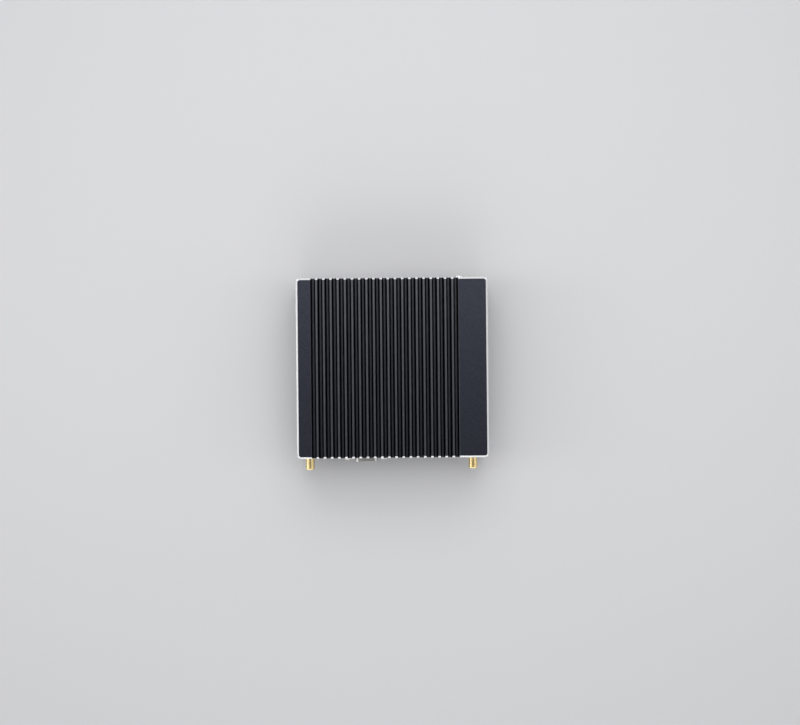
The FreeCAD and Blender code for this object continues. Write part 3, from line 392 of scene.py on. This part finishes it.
def joined(*parts):
    """One set of shells out of several."""
    whole = bmesh.new()
    for part in parts:
        mesh = bpy.data.meshes.new("part")
        part.to_mesh(mesh)
        part.free()
        whole.from_mesh(mesh)
        bpy.data.meshes.remove(mesh)
    return whole


def combined(body, tool, how):
    """Boolean of two closed shapes: DIFFERENCE, UNION or INTERSECT."""
    objects = []
    for bm in (body, tool):
        mesh = bpy.data.meshes.new("work")
        bm.to_mesh(mesh)
        bm.free()
        objects.append(bpy.data.objects.new("work", mesh))
        bpy.context.scene.collection.objects.link(objects[-1])
    boolean = objects[0].modifiers.new("cut", "BOOLEAN")
    boolean.operation, boolean.object, boolean.solver = how, objects[1], "EXACT"
    bpy.context.view_layer.update()
    shown = objects[0].evaluated_get(bpy.context.evaluated_depsgraph_get())
    result = bpy.data.meshes.new_from_object(shown)
    bm = bmesh.new()
    bm.from_mesh(result)
    for obj in objects:
        mesh = obj.data
        bpy.data.objects.remove(obj)
        bpy.data.meshes.remove(mesh)
    bpy.data.meshes.remove(result)
    return bm


def cut(body, *tools):
    """Body less the tools, which don't overlap each other."""
    return combined(body, joined(*tools), "DIFFERENCE")


def packed_shape(node):
    """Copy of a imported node, its loose triangles merged into flat faces."""
    bm = bmesh.new()
    bm.from_mesh(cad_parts[node].data)
    bmesh.ops.scale(bm, vec=(1000, 1000, 1000), verts=bm.verts)
    bmesh.ops.remove_doubles(bm, verts=bm.verts, dist=1e-3)
    bmesh.ops.dissolve_limit(bm, angle_limit=math.radians(0.6), verts=bm.verts,
                             edges=bm.edges)
    for face in bm.faces:
        face.material_index = 0
    return bm


def edges_at(bm, test):
    return [edge for edge in bm.edges if test((edge.verts[0].co + edge.verts[1].co) / 2)]


def edges_along(bm, axis):
    return [edge for edge in bm.edges
            if abs((edge.verts[0].co - edge.verts[1].co).normalized().dot(axis)) > 0.999]


def bevel(bm, edges, width, segments=1):
    bmesh.ops.bevel(bm, geom=edges, offset=width, segments=segments, profile=0.5, affect="EDGES",
                    material=-1, clamp_overlap=True)
    return bm


def paint(bm, index, test):
    """Gives the faces that pass the test another of the piece's materials: a finish of its own, or
    painted light or shade.
    """
    for face in bm.faces:
        if test(face.calc_center_median(), face.normal):
            face.material_index = index
    return bm


def piece(name, bm, finishes, replaced=(), body="case", soften=0.0, sharp=30):
    """Finished piece: in metres, smooth where it is round, on its body."""
    bmesh.ops.scale(bm, vec=(0.001, 0.001, 0.001), verts=bm.verts)
    mesh = bpy.data.meshes.new(name)
    bm.to_mesh(mesh)
    bm.free()
    if mesh.has_custom_normals:
        mesh.attributes.remove(mesh.attributes["custom_normal"])
    obj = bpy.data.objects.new(name, mesh)
    bpy.context.scene.collection.objects.link(obj)
    for finish in finishes:
        mesh.materials.append(finish)
    mesh.shade_smooth()
    if soften:
        edge = obj.modifiers.new("edges", "BEVEL")
        edge.width, edge.segments = soften / 1000, 2
        edge.limit_method, edge.angle_limit = "ANGLE", math.radians(40)
        edge.harden_normals = True
    else:
        mesh.set_sharp_from_angle(angle=math.radians(sharp))
    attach(obj, body)
    if replaced:
        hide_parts(*replaced)
    return obj


def four(x, y):
    return [(sx * x, sy * y) for sx in (-1, 1) for sy in (-1, 1)]


def hex_socket(bm, centre, direction, depth):
    """Closes the open ring of a screw head with a six-sided socket."""
    aim = Vector(direction).to_track_quat("Z", "Y").to_matrix()
    rim = [edge for edge in bm.edges if edge.is_boundary]
    made = bmesh.ops.create_circle(bm, cap_ends=False, segments=24,
                                   radius=HEX_FLATS / 2)["verts"]
    for vert in made:
        angle = math.atan2(vert.co.y, vert.co.x) % (math.tau / 6) - math.tau / 12
        vert.co /= math.cos(angle)
    bmesh.ops.rotate(bm, matrix=aim, verts=made)
    bmesh.ops.translate(bm, vec=centre, verts=made)
    hexagon = list({edge for vert in made for edge in vert.link_edges})
    bmesh.ops.bridge_loops(bm, edges=rim + hexagon)
    walls = bmesh.ops.extrude_edge_only(bm, edges=hexagon)["geom"]
    sunk = [g for g in walls if isinstance(g, bmesh.types.BMVert)]
    bmesh.ops.translate(bm, vec=Vector(direction) * -depth, verts=sunk)
    floor = [g for g in walls if isinstance(g, bmesh.types.BMEdge) and g.is_boundary]
    bmesh.ops.contextual_create(bm, geom=floor)
    return outward(bm)


# ---------------------------------------------------------------- case
def rim_inset(place):
    """How far a place lies inside the rounded outline of the case."""
    over_x = abs(place.x) - case_high.x + CORNER
    over_y = abs(place.y) - case_high.y + CORNER
    if over_x > 0 and over_y > 0:
        return CORNER - math.hypot(over_x, over_y)
    return CORNER - max(over_x, over_y)


def level(normal):
    return normal.z > 0.9


def sloped(normal):
    return 0.6 < normal.z < 0.8


def sideways(normal):
    return abs(normal.x) > 0.5


def among_fins(place, margin):
    """Whether a place lies between the two plain strips, or up to margin over them."""
    first, last = case_high.x - PLAIN_NARROW, case_low.x + PLAIN_WIDE
    return last - margin < place.x < first + margin


def finned_case():
    """The case, with painted light on fin tops and groove floors, painted shade on groove walls,
    and the cut edges in their own bright metal.
    """
    bm = packed_shape("main_housing")
    finishes = (ANODISE, FIN_TOPS_PAINTED_LIGHT, GROOVE_WALLS_PAINTED_SHADE, BRIGHT_CUT, GROOVE_FLOORS_PAINTED_LIGHT)
    tops, walls, cut_edge, floors = range(1, 5)
    near = 0.3
    # Painted light: the fin tops take the lighter copy of the anodise.
    paint(bm, tops, lambda c, n: level(n) and c.z > CASE_TOP - 0.05 and among_fins(c, -near))
    # Painted shade: the groove walls take the nearly black copy of the anodise.
    paint(bm, walls, lambda c, n: sideways(n) and c.z > FIN_FOOT + 0.1 and among_fins(c, near))
    # Painted light: the groove floors take the lighter copy of the anodise.
    paint(bm, floors, lambda c, n: level(n) and abs(c.z - FIN_FOOT) < 0.1
          and among_fins(c, near))
    # Painted light: the small lips along each fin top take the lighter fin-top copy too.
    paint(bm, tops, lambda c, n: sloped(n) and sideways(n) and c.z > CASE_TOP - 0.25
          and among_fins(c, near) and not among_fins(c, -near))
    paint(bm, cut_edge, lambda c, n: sloped(n) and 0 < rim_inset(c) < EDGE_CUT)
    return piece("finned_case", bm, finishes, ("main_housing",))


def cut_in_turns(bm, tools):
    """Cuts every other tool first and the rest after, as each overlaps its neighbour."""
    return cut(cut(bm, *tools[0::2]), *tools[1::2])


def base_cover():
    """Cover with countersinks, wall-mount holes and two rows of vents."""
    bm = block(cover_low, cover_high)
    bevel(bm, edges_along(bm, Z), CORNER, 12)
    bevel(bm, edges_at(bm, lambda m: m.z < cover_low.z + 0.01), 0.5)
    bevel(bm, edges_at(bm, lambda m: m.z > cover_high.z - 0.01), 0.12)
    tools = []
    under = cover_low.z - 1
    for x, y in four(SCREW_X, COVER_SCREW_Y):
        clear = 1.63
        tools.append(bar(48, 3.05, (x, y, cover_low.z - 0.02), Z, 1.42, clear))
        tools.append(bar(32, clear, (x, y, cover_low.z + 1.2), Z, 3))
    for x, y in four(WALL_MOUNT / 2, WALL_MOUNT / 2):
        tools.append(bar(40, WALL_MOUNT_RADIUS, (x, y, under), Z, 6))
        tools.append(bar(40, 2.1, (x, y, under), Z, 1.25, 1.85))
    for row in (-1, 1):
        for i in range(VENT_COUNT):
            x = (i - (VENT_COUNT - 1) / 2) * VENT_PITCH
            y = row * (case_high.y - VENT_INSET)
            slot = block((x - VENT_WIDTH / 2, y - VENT_LENGTH / 2, under),
                         (x + VENT_WIDTH / 2, y + VENT_LENGTH / 2, 5))
            tools.append(bevel(slot, edges_along(slot, Z), 1.0, 4))
    return piece("base_cover", cut_in_turns(bm, tools), (COVER,),
                 ("bottom_cover",))


def rubber_feet():
    """Round feet with a softened rim and a dish in the middle."""
    low, high = reach("rubber_feet")
    radius, tall, dish = FOOT_RADIUS, high.z - low.z, 2.3
    profile = [(0, 0), (radius - 0.15, 0), (radius, 0.2), (radius, dish), (radius - 0.25, 2.75),
               (radius - 0.8, tall), (3.9, tall), (3.5, 2.85), (3.3, dish), (0, dish)]
    feet = [turned(profile, (x, y, high.z), -Z, 64) for x, y in four(FOOT_X, FOOT_Y)]
    return piece("round_feet", joined(*feet), (RUBBER,), ("rubber_feet",), sharp=40)


def pan_screw(centre, direction):
    """Pan head with a six-sided socket, standing on a panel."""
    shank, tall = 6.0, 1.2
    profile = [(0, -shank), (SHANK_TIP_RADIUS, -shank), (SHANK_RADIUS, -shank + 0.3),
               (SHANK_RADIUS, 0), (2.5, 0), (2.6, 0.12), (2.58, 0.6), (2.42, 0.92), (2.1, 1.13),
               (1.7, tall), (1.35, tall)]
    bm = turned(profile, centre, direction)
    top = Vector(centre) + Vector(direction) * tall
    return hex_socket(bm, top, direction, 0.95)


def sunk_screw(centre):
    """Countersunk head, flush with the underside of the cover."""
    profile = [(0, -6.4), (SHANK_TIP_RADIUS, -6.4), (SHANK_RADIUS, -6.1), (SHANK_RADIUS, -1.45),
               (2.86, -0.06), (2.86, 0), (1.5, 0)]
    bm = turned(profile, centre, -Z)
    return hex_socket(bm, Vector(centre), -Z, 1.1)


def screws():
    for name, face, way in (("rear_panel_screws", REAR_FACE, Y),
                            ("front_panel_screws", -REAR_FACE, -Y)):
        heads = [pan_screw((sx * SCREW_X, face, z), way) for sx in (-1, 1) for z in PANEL_SCREW_Z]
        piece(name + "_round", joined(*heads), (BLACK_STEEL,), (name,))
    heads = [sunk_screw((x, y, cover_low.z)) for x, y in four(SCREW_X, COVER_SCREW_Y)]
    piece("cover_screws_round", joined(*heads), (BLACK_STEEL,), ("cover_screws",))


# ---------------------------------------------------------------- panels
def blank_panel(face):
    """Panel plate; face is the Y of its outer side."""
    back = face - math.copysign(PANEL_THICKNESS, face)
    y0, y1 = sorted((face, back))
    return block((panel_low.x, y0, panel_low.z), (panel_high.x, y1, panel_high.z))


def square_hole(x0, x1, z0, z1, face):
    """Tool for the hole round a square socket, with its gap."""
    return block((x0 - SOCKET_GAP, face - OVERRUN, z0 - SOCKET_GAP),
                 (x1 + SOCKET_GAP, face + OVERRUN, z1 + SOCKET_GAP))


def square_hole_round(node, face):
    low, high = reach(node)
    return square_hole(low.x, high.x, low.z, high.z, face)


def round_hole(x, z, radius, face):
    return bar(48, radius, (x, face - OVERRUN, z), Y, 2 * OVERRUN)


def screw_holes(face):
    return [round_hole(sx * SCREW_X, z, SCREW_HOLE_RADIUS, face)
            for sx in (-1, 1) for z in PANEL_SCREW_Z]


def front_plate():
    tools = screw_holes(-REAR_FACE)
    button = centre_of("power_button_bezel")
    tools.append(round_hole(button.x, button.z, BUTTON_HOLE_RADIUS, -REAR_FACE))
    for x in LIGHT_X:
        tools.append(round_hole(x, CONTROL_HEIGHT, LIGHT_HOLE_RADIUS, -REAR_FACE))
    for x in AUDIO_X:
        tools.append(round_hole(x, AUDIO_Z, AUDIO_HOLE_RADIUS, -REAR_FACE))
    for x in USB_X:
        tools.append(square_hole(x - USB_HALF, x + USB_HALF, usb_low.z, usb_high.z, -REAR_FACE))
    return piece("front_plate", cut(blank_panel(-REAR_FACE), *tools), (PANEL,),
                 ("front_panel",), soften=0.1)


def rear_plate():
    tools = screw_holes(REAR_FACE)
    for x in ANTENNA_X:
        tools.append(round_hole(x, CONTROL_HEIGHT, ANTENNA_HOLE_RADIUS, REAR_FACE))
    tools.append(square_hole_round("power_inlet", REAR_FACE))
    tools.append(square_hole_round("hdmi_shell", REAR_FACE))
    for x in LAN_X:
        tools.append(square_hole(x - LAN_HALF, x + LAN_HALF, lan_low.z, lan_high.z, REAR_FACE))
    tools.append(d_shape(SOCKET_GAP, REAR_FACE - OVERRUN, REAR_FACE + OVERRUN))
    for x in VGA_SCREW_X:
        tools.append(round_hole(x, VGA_Z, VGA_SCREW_HOLE_RADIUS, REAR_FACE))
    return piece("rear_plate", cut(blank_panel(REAR_FACE), *tools), (PANEL,),
                 ("rear_panel",), soften=0.1)


# ---------------------------------------------------------------- button and lights
def button_cap():
    """Turned cap with a softly rounded rim and a shallow dish, its collar and square stem."""
    low, high = reach("power_button")
    face = low.y
    ring_back = reach("power_button_bezel")[1].y
    collar_front, collar_back = ring_back + 0.02 - face, ring_back + 1.02 - face
    dish = [(0, 0.2), (0.7, 0.18), (1.3, 0.12), (1.9, 0.03), (2.15, 0.0)]
    rim = [(2.4, 0.05), (2.6, 0.17), (2.72, 0.35), (BUTTON_RADIUS, 0.6)]
    collar = [(BUTTON_RADIUS, collar_front), (BUTTON_COLLAR_RADIUS, collar_front),
              (BUTTON_COLLAR_RADIUS, collar_back), (0, collar_back)]
    middle = centre_of("power_button")
    cap = turned(dish + rim + collar, (middle.x, face, middle.z), Y, 64)
    half_stem = 1.5
    stem = block((middle.x - half_stem, face + collar_back - 0.01, middle.z - half_stem),
                 (middle.x + half_stem, high.y, middle.z + half_stem))
    finish = turned_metal("button_turned_aluminium", (0.86, 0.86, 0.87), 0.22,
                          (middle.x, middle.z))
    return piece("button_cap", combined(cap, stem, "UNION"), (finish,),
                 ("power_button",), body="power_button")


def button_ring():
    """Flanged ring with rounded edges, and the barrel that holds it in the panel."""
    low, high = reach("power_button_bezel")
    middle = centre_of("power_button_bezel")
    length = high.y - low.y
    flange = -REAR_FACE - low.y
    bore = BUTTON_RADIUS + 0.1
    profile = [(bore, 0.35), (bore + 0.2, 0.1), (bore + 0.5, 0), (RING_RADIUS - 0.45, 0),
               (RING_RADIUS - 0.12, 0.1), (RING_RADIUS, 0.35), (RING_RADIUS, flange),
               (BARREL_RADIUS, flange), (BARREL_RADIUS, length), (bore, length), (bore, 0.35)]
    ring = turned(profile, (middle.x, low.y, middle.z), Y, 64)
    return piece("button_ring", ring, (CHROME,), ("power_button_bezel",))


def status_lenses():
    """Two domed lenses, one for each status light."""
    low, high = reach("light_pipes")
    length = high.y - low.y
    profile = [(0, 0), (0.7, 0.05), (1.05, 0.2), (LIGHT_RADIUS, 0.4), (LIGHT_RADIUS, length),
               (0, length)]
    lenses = [turned(profile, (x, low.y, CONTROL_HEIGHT), Y, 32) for x in LIGHT_X]
    return piece("status_lenses", joined(*lenses), (CLEAR,), ("light_pipes",))


# ---------------------------------------------------------------- audio sockets
def audio_sockets():
    """Bodies behind the panel, each with a collar, a flared mouth and a bore."""
    low, high = reach("audio_jacks")
    front = -REAR_FACE
    profile = [(0, 2.6), (2.99, 2.6), (2.99, 0), (3.45, 0), (3.45, -0.18), (3.3, -0.32),
               (2.35, -0.32), (0, -0.32)]
    sockets = []
    for x in AUDIO_X:
        collar = turned(profile, (x, front, AUDIO_Z), Y)
        body = block((x - AUDIO_HALF, -PANEL_BACK, low.z), (x + AUDIO_HALF, high.y, high.z))
        bevel(body, edges_along(body, Y), 0.3, 2)
        solid = combined(body, collar, "UNION")
        mouth = bar(48, 2.25, (x, front - 0.42, AUDIO_Z), Y, 0.6, 1.75)
        bore = bar(48, AUDIO_BORE_RADIUS, (x, front - 1, AUDIO_Z), Y, 12)
        sockets.append(cut(cut(solid, mouth), bore))
    return piece("audio_sockets", joined(*sockets), (BLACK_PLASTIC,),
                 ("audio_jacks",))


def audio_contacts():
    """Sprung contact that shows inside each audio socket."""
    springs = []
    for x in AUDIO_X:
        leaf = block((x - 0.6, -REAR_FACE + 3, AUDIO_Z - 1.78),
                     (x + 0.6, -REAR_FACE + 9, AUDIO_Z - 1.5))
        bevel(leaf, edges_along(leaf, X), 0.1, 2)
        springs.append(leaf)
    return piece("audio_contacts", joined(*springs), (GOLD,))


# ---------------------------------------------------------------- USB sockets
def usb_sockets():
    piece("usb_shell_boxes", packed_shape("usb_shells"), (NICKEL,),
          ("usb_shells",), soften=0.1)
    tongue, contact_pitch, finger_offset, finger_thickness = 1.9, 2.4, 3.4, 0.22
    contacts = []
    fingers = []
    for x, node in zip(USB_X, ("usb_tongues_blue", "usb_tongues_black")):
        low, high = reach(node)
        for top in (high.z, low.z + tongue):
            for i in range(4):
                middle = x + (i - 1.5) * contact_pitch
                contacts.append(block((middle - 0.5, low.y + 1.2, top - 1.93),
                                      (middle + 0.5, low.y + 7.5, top - 1.86)))
        for z in (usb_high.z - 0.35, (usb_low.z + usb_high.z) / 2 - 1.25):
            for middle in (x - finger_offset, x + finger_offset):
                finger = block((middle - 1.1, -REAR_FACE + 0.8, z - finger_thickness),
                               (middle + 1.1, -REAR_FACE + 6, z))
                bevel(finger, edges_at(finger, lambda m: m.z < z - 0.2), 0.15, 2)
                fingers.append(finger)
    piece("usb_contacts", joined(*contacts), (GOLD,))
    piece("usb_shell_springs", joined(*fingers), (NICKEL,))
    piece("usb_blue_tongues", packed_shape("usb_tongues_blue"), (BLUE_PLASTIC,),
          ("usb_tongues_blue",), soften=0.15)
    piece("usb_plain_tongues", packed_shape("usb_tongues_black"), (BLACK_PLASTIC,),
          ("usb_tongues_black",), soften=0.15)


# ---------------------------------------------------------------- rear sockets
def d_shape(grow, y0, y1):
    """The D of the video socket, wide side up."""
    slope = math.tan(math.radians(D_SLOPE))
    half = D_HEIGHT / 2 + grow
    middle = D_WIDTH / 2 - slope * D_HEIGHT / 2 + grow
    bm = bmesh.new()
    outline = [(-middle - slope * half, half), (middle + slope * half, half),
               (middle - slope * half, -half), (-middle + slope * half, -half)]
    verts = [bm.verts.new((VGA_X + x, y0, VGA_Z + z)) for x, z in outline]
    face = bm.faces.new(verts)
    made = bmesh.ops.extrude_face_region(bm, geom=[face])["geom"]
    far = [g for g in made if isinstance(g, bmesh.types.BMVert)]
    bmesh.ops.translate(bm, vec=(0, y1 - y0, 0), verts=far)
    outward(bm)
    return bevel(bm, edges_along(bm, Y), D_CORNER + grow, 8)


def vga_contacts():
    """Places (x, z) of the fifteen contacts, the middle row set a quarter pitch over."""
    return [(VGA_X + i * VGA_PIN_PITCH - (0 if row else VGA_PIN_PITCH / 4),
             VGA_Z + row * VGA_ROW_PITCH) for row in (-1, 0, 1) for i in range(-2, 3)]


def video_socket():
    """Video socket: its shell, and the block that holds its contacts in a D-shaped nose."""
    piece("vga_d_shell", packed_shape("vga_shell"), (NICKEL,), ("vga_shell",),
          soften=0.12)
    low, high = reach("vga_insert")
    plate_back = PANEL_BACK - 0.8
    front = high.y
    nose = d_shape(-0.57, plate_back - 1, front)
    body = block((low.x, low.y, low.z), (high.x, plate_back, high.z))
    solid = combined(nose, body, "UNION")
    holes = [bar(20, 0.52, (x, front - 3, z), Y, 4) for x, z in vga_contacts()]
    dimples = [bar(20, 0.5, (x, front - 0.22, z), Y, 0.3, 0.78) for x, z in vga_contacts()]
    solid = cut(cut(solid, *holes), *dimples)
    screws = [bar(32, 1.55, (x, low.y - 1, VGA_Z), Y, 16) for x in VGA_SCREW_X]
    piece("vga_contact_block", cut(solid, *screws), (VGA_BLUE,), ("vga_insert",))
    jackscrews()


def jackscrews():
    """Hex posts beside the video socket, with chamfered ends and a threaded hole."""
    low, high = reach("vga_jackscrews")
    corner = 4.8 / math.sqrt(3)
    wide = corner + 0.05
    tall = high.y - REAR_FACE
    ends = [(0, 0), (2.55, 0), (wide, 0.25), (wide, tall - 0.35), (2.3, tall), (0, tall)]
    pitch, crest, root = 0.5, 1.25, 1.42
    thread = [(0, 0)]
    for i in range(5):
        thread += [(crest, i * pitch), (root, i * pitch + pitch / 2)]
    thread += [(crest, 2.5), (1.6, 2.75), (1.6, 3.2), (0, 3.2)]
    posts = []
    for x in VGA_SCREW_X:
        seat = (x, REAR_FACE, VGA_Z)
        head = combined(bar(6, corner, seat, Y, tall), turned(ends, seat, Y), "INTERSECT")
        shank = bar(24, 1.48, (x, low.y, VGA_Z), Y, REAR_FACE - low.y + 0.2)
        bore = turned(thread, (x, high.y - 2.65, VGA_Z), Y, 32)
        posts.append(cut(combined(head, shank, "UNION"), bore))
    piece("vga_hex_posts", joined(*posts), (NICKEL,), ("vga_jackscrews",))


def digital_video_socket():
    """Folded shell, and a tongue with contacts on both of its faces."""
    piece("hdmi_folded_shell", packed_shape("hdmi_shell"), (NICKEL,),
          ("hdmi_shell",), soften=0.08)
    piece("hdmi_contact_tongue", packed_shape("hdmi_tongue"), (BLACK_PLASTIC,),
          ("hdmi_tongue",), soften=0.08)
    tip = reach("hdmi_tongue")[1].y
    middle = centre_of("hdmi_shell")
    count, pitch = 19, 0.5
    strips = []
    for i in range(count):
        x = middle.x + (i - count // 2) * pitch
        z = middle.z + 0.4 + (0.42 if i % 2 else -0.42)
        strips.append(block((x - 0.15, tip - 5.5, z - 0.03), (x + 0.15, tip - 0.6, z + 0.03)))
    piece("hdmi_contacts", joined(*strips), (GOLD,))


def power_socket():
    """Barrel-plug inlet with a round pin and a sleeve contact."""
    piece("power_inlet_body", packed_shape("power_inlet"), (BLACK_PLASTIC,),
          ("power_inlet",), soften=0.2)
    back = reach("power_inlet_pin")[0].y
    middle = centre_of("power_inlet_pin")
    pin = [(0, 0), (1.25, 0), (1.25, 8.2), (1.18, 8.5), (0.95, 8.75), (0.6, 8.88), (0, 8.9)]
    piece("power_inlet_round_pin", turned(pin, (middle.x, back, middle.z), Y, 40),
          (INNER_STEEL,), ("power_inlet_pin",))
    sleeve = [(2.88, 0), (2.88, 7.2), (2.72, 7.4), (2.72, 0), (2.88, 0)]
    piece("power_inlet_sleeve", turned(sleeve, (middle.x, back + 0.05, middle.z), Y, 48),
          (INNER_STEEL,))


def network_sockets():
    """Two network sockets, each with an amber lamp on its +X side and a green one."""
    piece("lan_shell_boxes", packed_shape("lan_shells"), (NICKEL,),
          ("lan_shells",), soften=0.08)
    piece("lan_insert_bays", packed_shape("lan_inserts"), (BLACK_PLASTIC,),
          ("lan_inserts",), soften=0.1)
    lamps = packed_shape("lan_lights")
    for x in LAN_X:
        paint(lamps, 1, lambda c, n: x < c.x < x + LAN_HALF)
    piece("lan_lamps", lamps, (GREEN, AMBER), ("lan_lights",), soften=0.12)


# ---------------------------------------------------------------- antenna jacks
def antenna_barrel(nut_front, end, bore_floor):
    """Profile of a jack: flange inside the panel, thread in front of the nut, open end."""
    pitch = 0.7056
    core, crest = 2.92, 3.16
    first = nut_front + 0.1
    count = int((end - 0.5 - nut_front) / pitch)
    inner_end, flange, neck = 57.0, 3.8, 2.925
    profile = [(0, inner_end), (flange - 0.2, inner_end), (flange, inner_end + 0.2),
               (flange, PANEL_BACK), (neck, PANEL_BACK), (neck, nut_front)]
    for i in range(count):
        base = first + i * pitch
        profile += [(core, base), (crest, base + pitch * 0.24), (crest, base + pitch * 0.64),
                    (core, base + pitch * 0.88)]
    return profile + [(core, first + count * pitch), (core, end - 0.3), (2.7, end), (2.3, end),
                      (2.3, bore_floor), (0, bore_floor)]


def antenna_jacks():
    end = reach("antenna_jack_left")[1].y
    nut_back = REAR_FACE + 0.6
    nut_depth = 2.2
    bore_floor = end - 5
    profile = antenna_barrel(nut_back + nut_depth, end, bore_floor)
    for x, name in zip(ANTENNA_X, ("left", "right")):
        piece("antenna_barrel_" + name, turned(profile, (x, 0, CONTROL_HEIGHT), Y, 56), (GOLD,),
              ("antenna_jack_" + name,), sharp=25)
    corner = 8 / math.sqrt(3)
    wide = corner + 0.05
    ends = [(0, 0), (4.1, 0), (wide, 0.3), (wide, 1.85), (4.05, nut_depth), (0, nut_depth)]
    opening = [(0, -1), (2.96, -1), (2.96, 1.9), (3.25, 2.3), (0, 2.3)]
    ring = [(2.96, 0.02), (4.7, 0.02), (4.78, 0.1), (4.72, 0.58), (2.96, 0.58), (2.96, 0.02)]
    nuts = []
    washers = []
    for x in ANTENNA_X:
        seat = (x, nut_back, CONTROL_HEIGHT)
        nut = combined(bar(6, corner, seat, Y, nut_depth), turned(ends, seat, Y), "INTERSECT")
        nuts.append(cut(nut, turned(opening, seat, Y)))
        washers.append(turned(ring, (x, REAR_FACE, CONTROL_HEIGHT), Y, 56))
    piece("antenna_hex_nuts", joined(*nuts), (GOLD,), ("antenna_nuts",))
    piece("antenna_washers", joined(*washers), (GOLD,))
    insulator = [(0, 0), (2.28, 0), (2.28, 2.4), (2.0, 2.5), (1.3, 2.5), (1.2, 2.2), (0, 2.2)]
    plugs = [turned(insulator, (x, bore_floor, CONTROL_HEIGHT), Y) for x in ANTENNA_X]
    piece("antenna_insulation", joined(*plugs), (WHITE_PLASTIC,),
          ("antenna_insulators",))
    pin = [(0, 2.21), (0.63, 2.21), (0.63, 3.6), (0.5, 3.9), (0.25, 4.08), (0, 4.1)]
    pins = [turned(pin, (x, bore_floor, CONTROL_HEIGHT), Y, 24) for x in ANTENNA_X]
    piece("antenna_centre_pins", joined(*pins), (GOLD,), ("antenna_contacts",))


# ---------------------------------------------------------------- inside
INSIDE = {
    BOARD: ("motherboard", "switch_board", "memory_module", "storage_card", "radio_card"),
    BLACK_PLASTIC: ("usb_inserts", "power_switch", "memory_socket", "card_sockets", "card_latches",
                    "battery_holder", "lan_filters"),
    WHITE_PLASTIC: ("switch_post",),
    INNER_STEEL: ("board_screws", "coin_cell"),
    JACKET: ("antenna_lead_left", "antenna_lead_right"),
    GOLD: ("lan_contacts",),
    CARBON_CHIP: ("processor",),
    PAD: ("thermal_pad",),
    COPPER: ("heat_block",),
    FERRITE: ("power_coils",),
    CAN_METAL: ("capacitor_cans",),
}


def finish_inside():
    """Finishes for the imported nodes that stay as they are."""
    for finish, nodes in INSIDE.items():
        for node in nodes:
            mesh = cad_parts[node].data
            mesh.materials.clear()
            mesh.materials.append(finish)


# ---------------------------------------------------------------- stage, light and camera
def floor():
    """Plain pale disc under the feet."""
    bm = bmesh.new()
    bmesh.ops.create_circle(bm, cap_ends=True, segments=96, radius=0.85)
    mesh = bpy.data.meshes.new("studio_floor")
    bm.to_mesh(mesh)
    bm.free()
    obj = bpy.data.objects.new("studio_floor", mesh)
    obj.location.z = reach("rubber_feet")[0].z / 1000
    bpy.context.scene.collection.objects.link(obj)
    mesh.materials.append(surface("studio_floor_paint", (0.58, 0.58, 0.59), rough=0.8)[0])


def lamp(name, place, aim_height, size, radiance, beam):
    """Soft lamp aimed at a point over the origin; radiance is how bright its face looks."""
    light = bpy.data.lights.new(name, "AREA")
    light.shape = "RECTANGLE"
    light.size, light.size_y = size
    light.energy = radiance * math.pi * size[0] * size[1]
    light.spread = math.radians(beam)
    obj = bpy.data.objects.new(name, light)
    obj.location = place
    aim = Vector((0, 0, aim_height)) - Vector(place)
    obj.rotation_euler = aim.to_track_quat("-Z", "Y").to_euler()
    obj.visible_camera = False
    bpy.context.scene.collection.objects.link(obj)


def light_stage():
    """Soft lamps round the object, and a world that darkens from its walls to its ceiling."""
    world = bpy.data.worlds.new("studio")
    world.use_nodes = True
    tree = world.node_tree
    around = tree.nodes.new("ShaderNodeTexCoord")
    height = tree.nodes.new("ShaderNodeSeparateXYZ")
    tree.links.new(around.outputs["Generated"], height.inputs["Vector"])
    walls, ceiling = (0.58, 0.59, 0.60), (0.20, 0.205, 0.215)
    tree.links.new(shades(tree, height.outputs["Z"], walls, ceiling, 0.08, 0.45),
                   tree.nodes["Background"].inputs["Color"])
    bpy.context.scene.world = world
    lamp("overhead", (0.0, -0.454, 0.92), 0.03, (0.9, 0.65), 1.0, 120)
    lamp("tall_left", (1.1, 0.0, 0.9), 0, (0.45, 2.0), 0.74, 100)
    lamp("tall_right", (-0.95, 0.0, 1.1), 0, (0.45, 1.3), 0.54, 100)
    lamp("high_front", (0.0, -1.1, 0.9), 0, (1.6, 0.45), 0.8, 100)
    lamp("high_rear", (0.0, 1.1, 0.9), 0, (1.6, 0.45), 0.5, 100)
    for name, x, y, radiance in (("side_left", 1.25, 0.0, 0.14), ("side_right", -1.25, 0.0, 0.10),
                                 ("side_rear", 0.0, 1.25, 0.27), ("side_front", 0.0, -1.25, 0.15)):
        lamp(name, (x, y, 0.40), 0.05, (1.5, 0.8), radiance, 60)
    for x, y in four(0.88, 0.88):
        lamp("corner", (x, y, 0.20), 0.03, (0.9, 0.4), 0.26, 60)


def camera():
    """Straight down on the fins, with the rear panel at the bottom of the picture."""
    view = bpy.data.cameras.new("camera")
    view.lens = 64.42
    view.sensor_width = 36.0
    obj = bpy.data.objects.new("camera", view)
    place = Matrix.Translation((0.0088, -0.0038, 1.0357))
    turn = Matrix.Rotation(math.radians(-0.55), 4, "Z")
    tilt = Matrix.Rotation(math.radians(0.81), 4, "Y")
    obj.matrix_world = place @ turn @ tilt @ Matrix.Rotation(math.pi, 4, "Z")
    bpy.context.scene.collection.objects.link(obj)
    bpy.context.scene.camera = obj
    bpy.context.scene.view_settings.view_transform = "Standard"


finned_case()
base_cover()
rubber_feet()
screws()
front_plate()
rear_plate()
button_cap()
button_ring()
status_lenses()
audio_sockets()
audio_contacts()
usb_sockets()
video_socket()
digital_video_socket()
power_socket()
network_sockets()
antenna_jacks()
finish_inside()
floor()
light_stage()
camera()
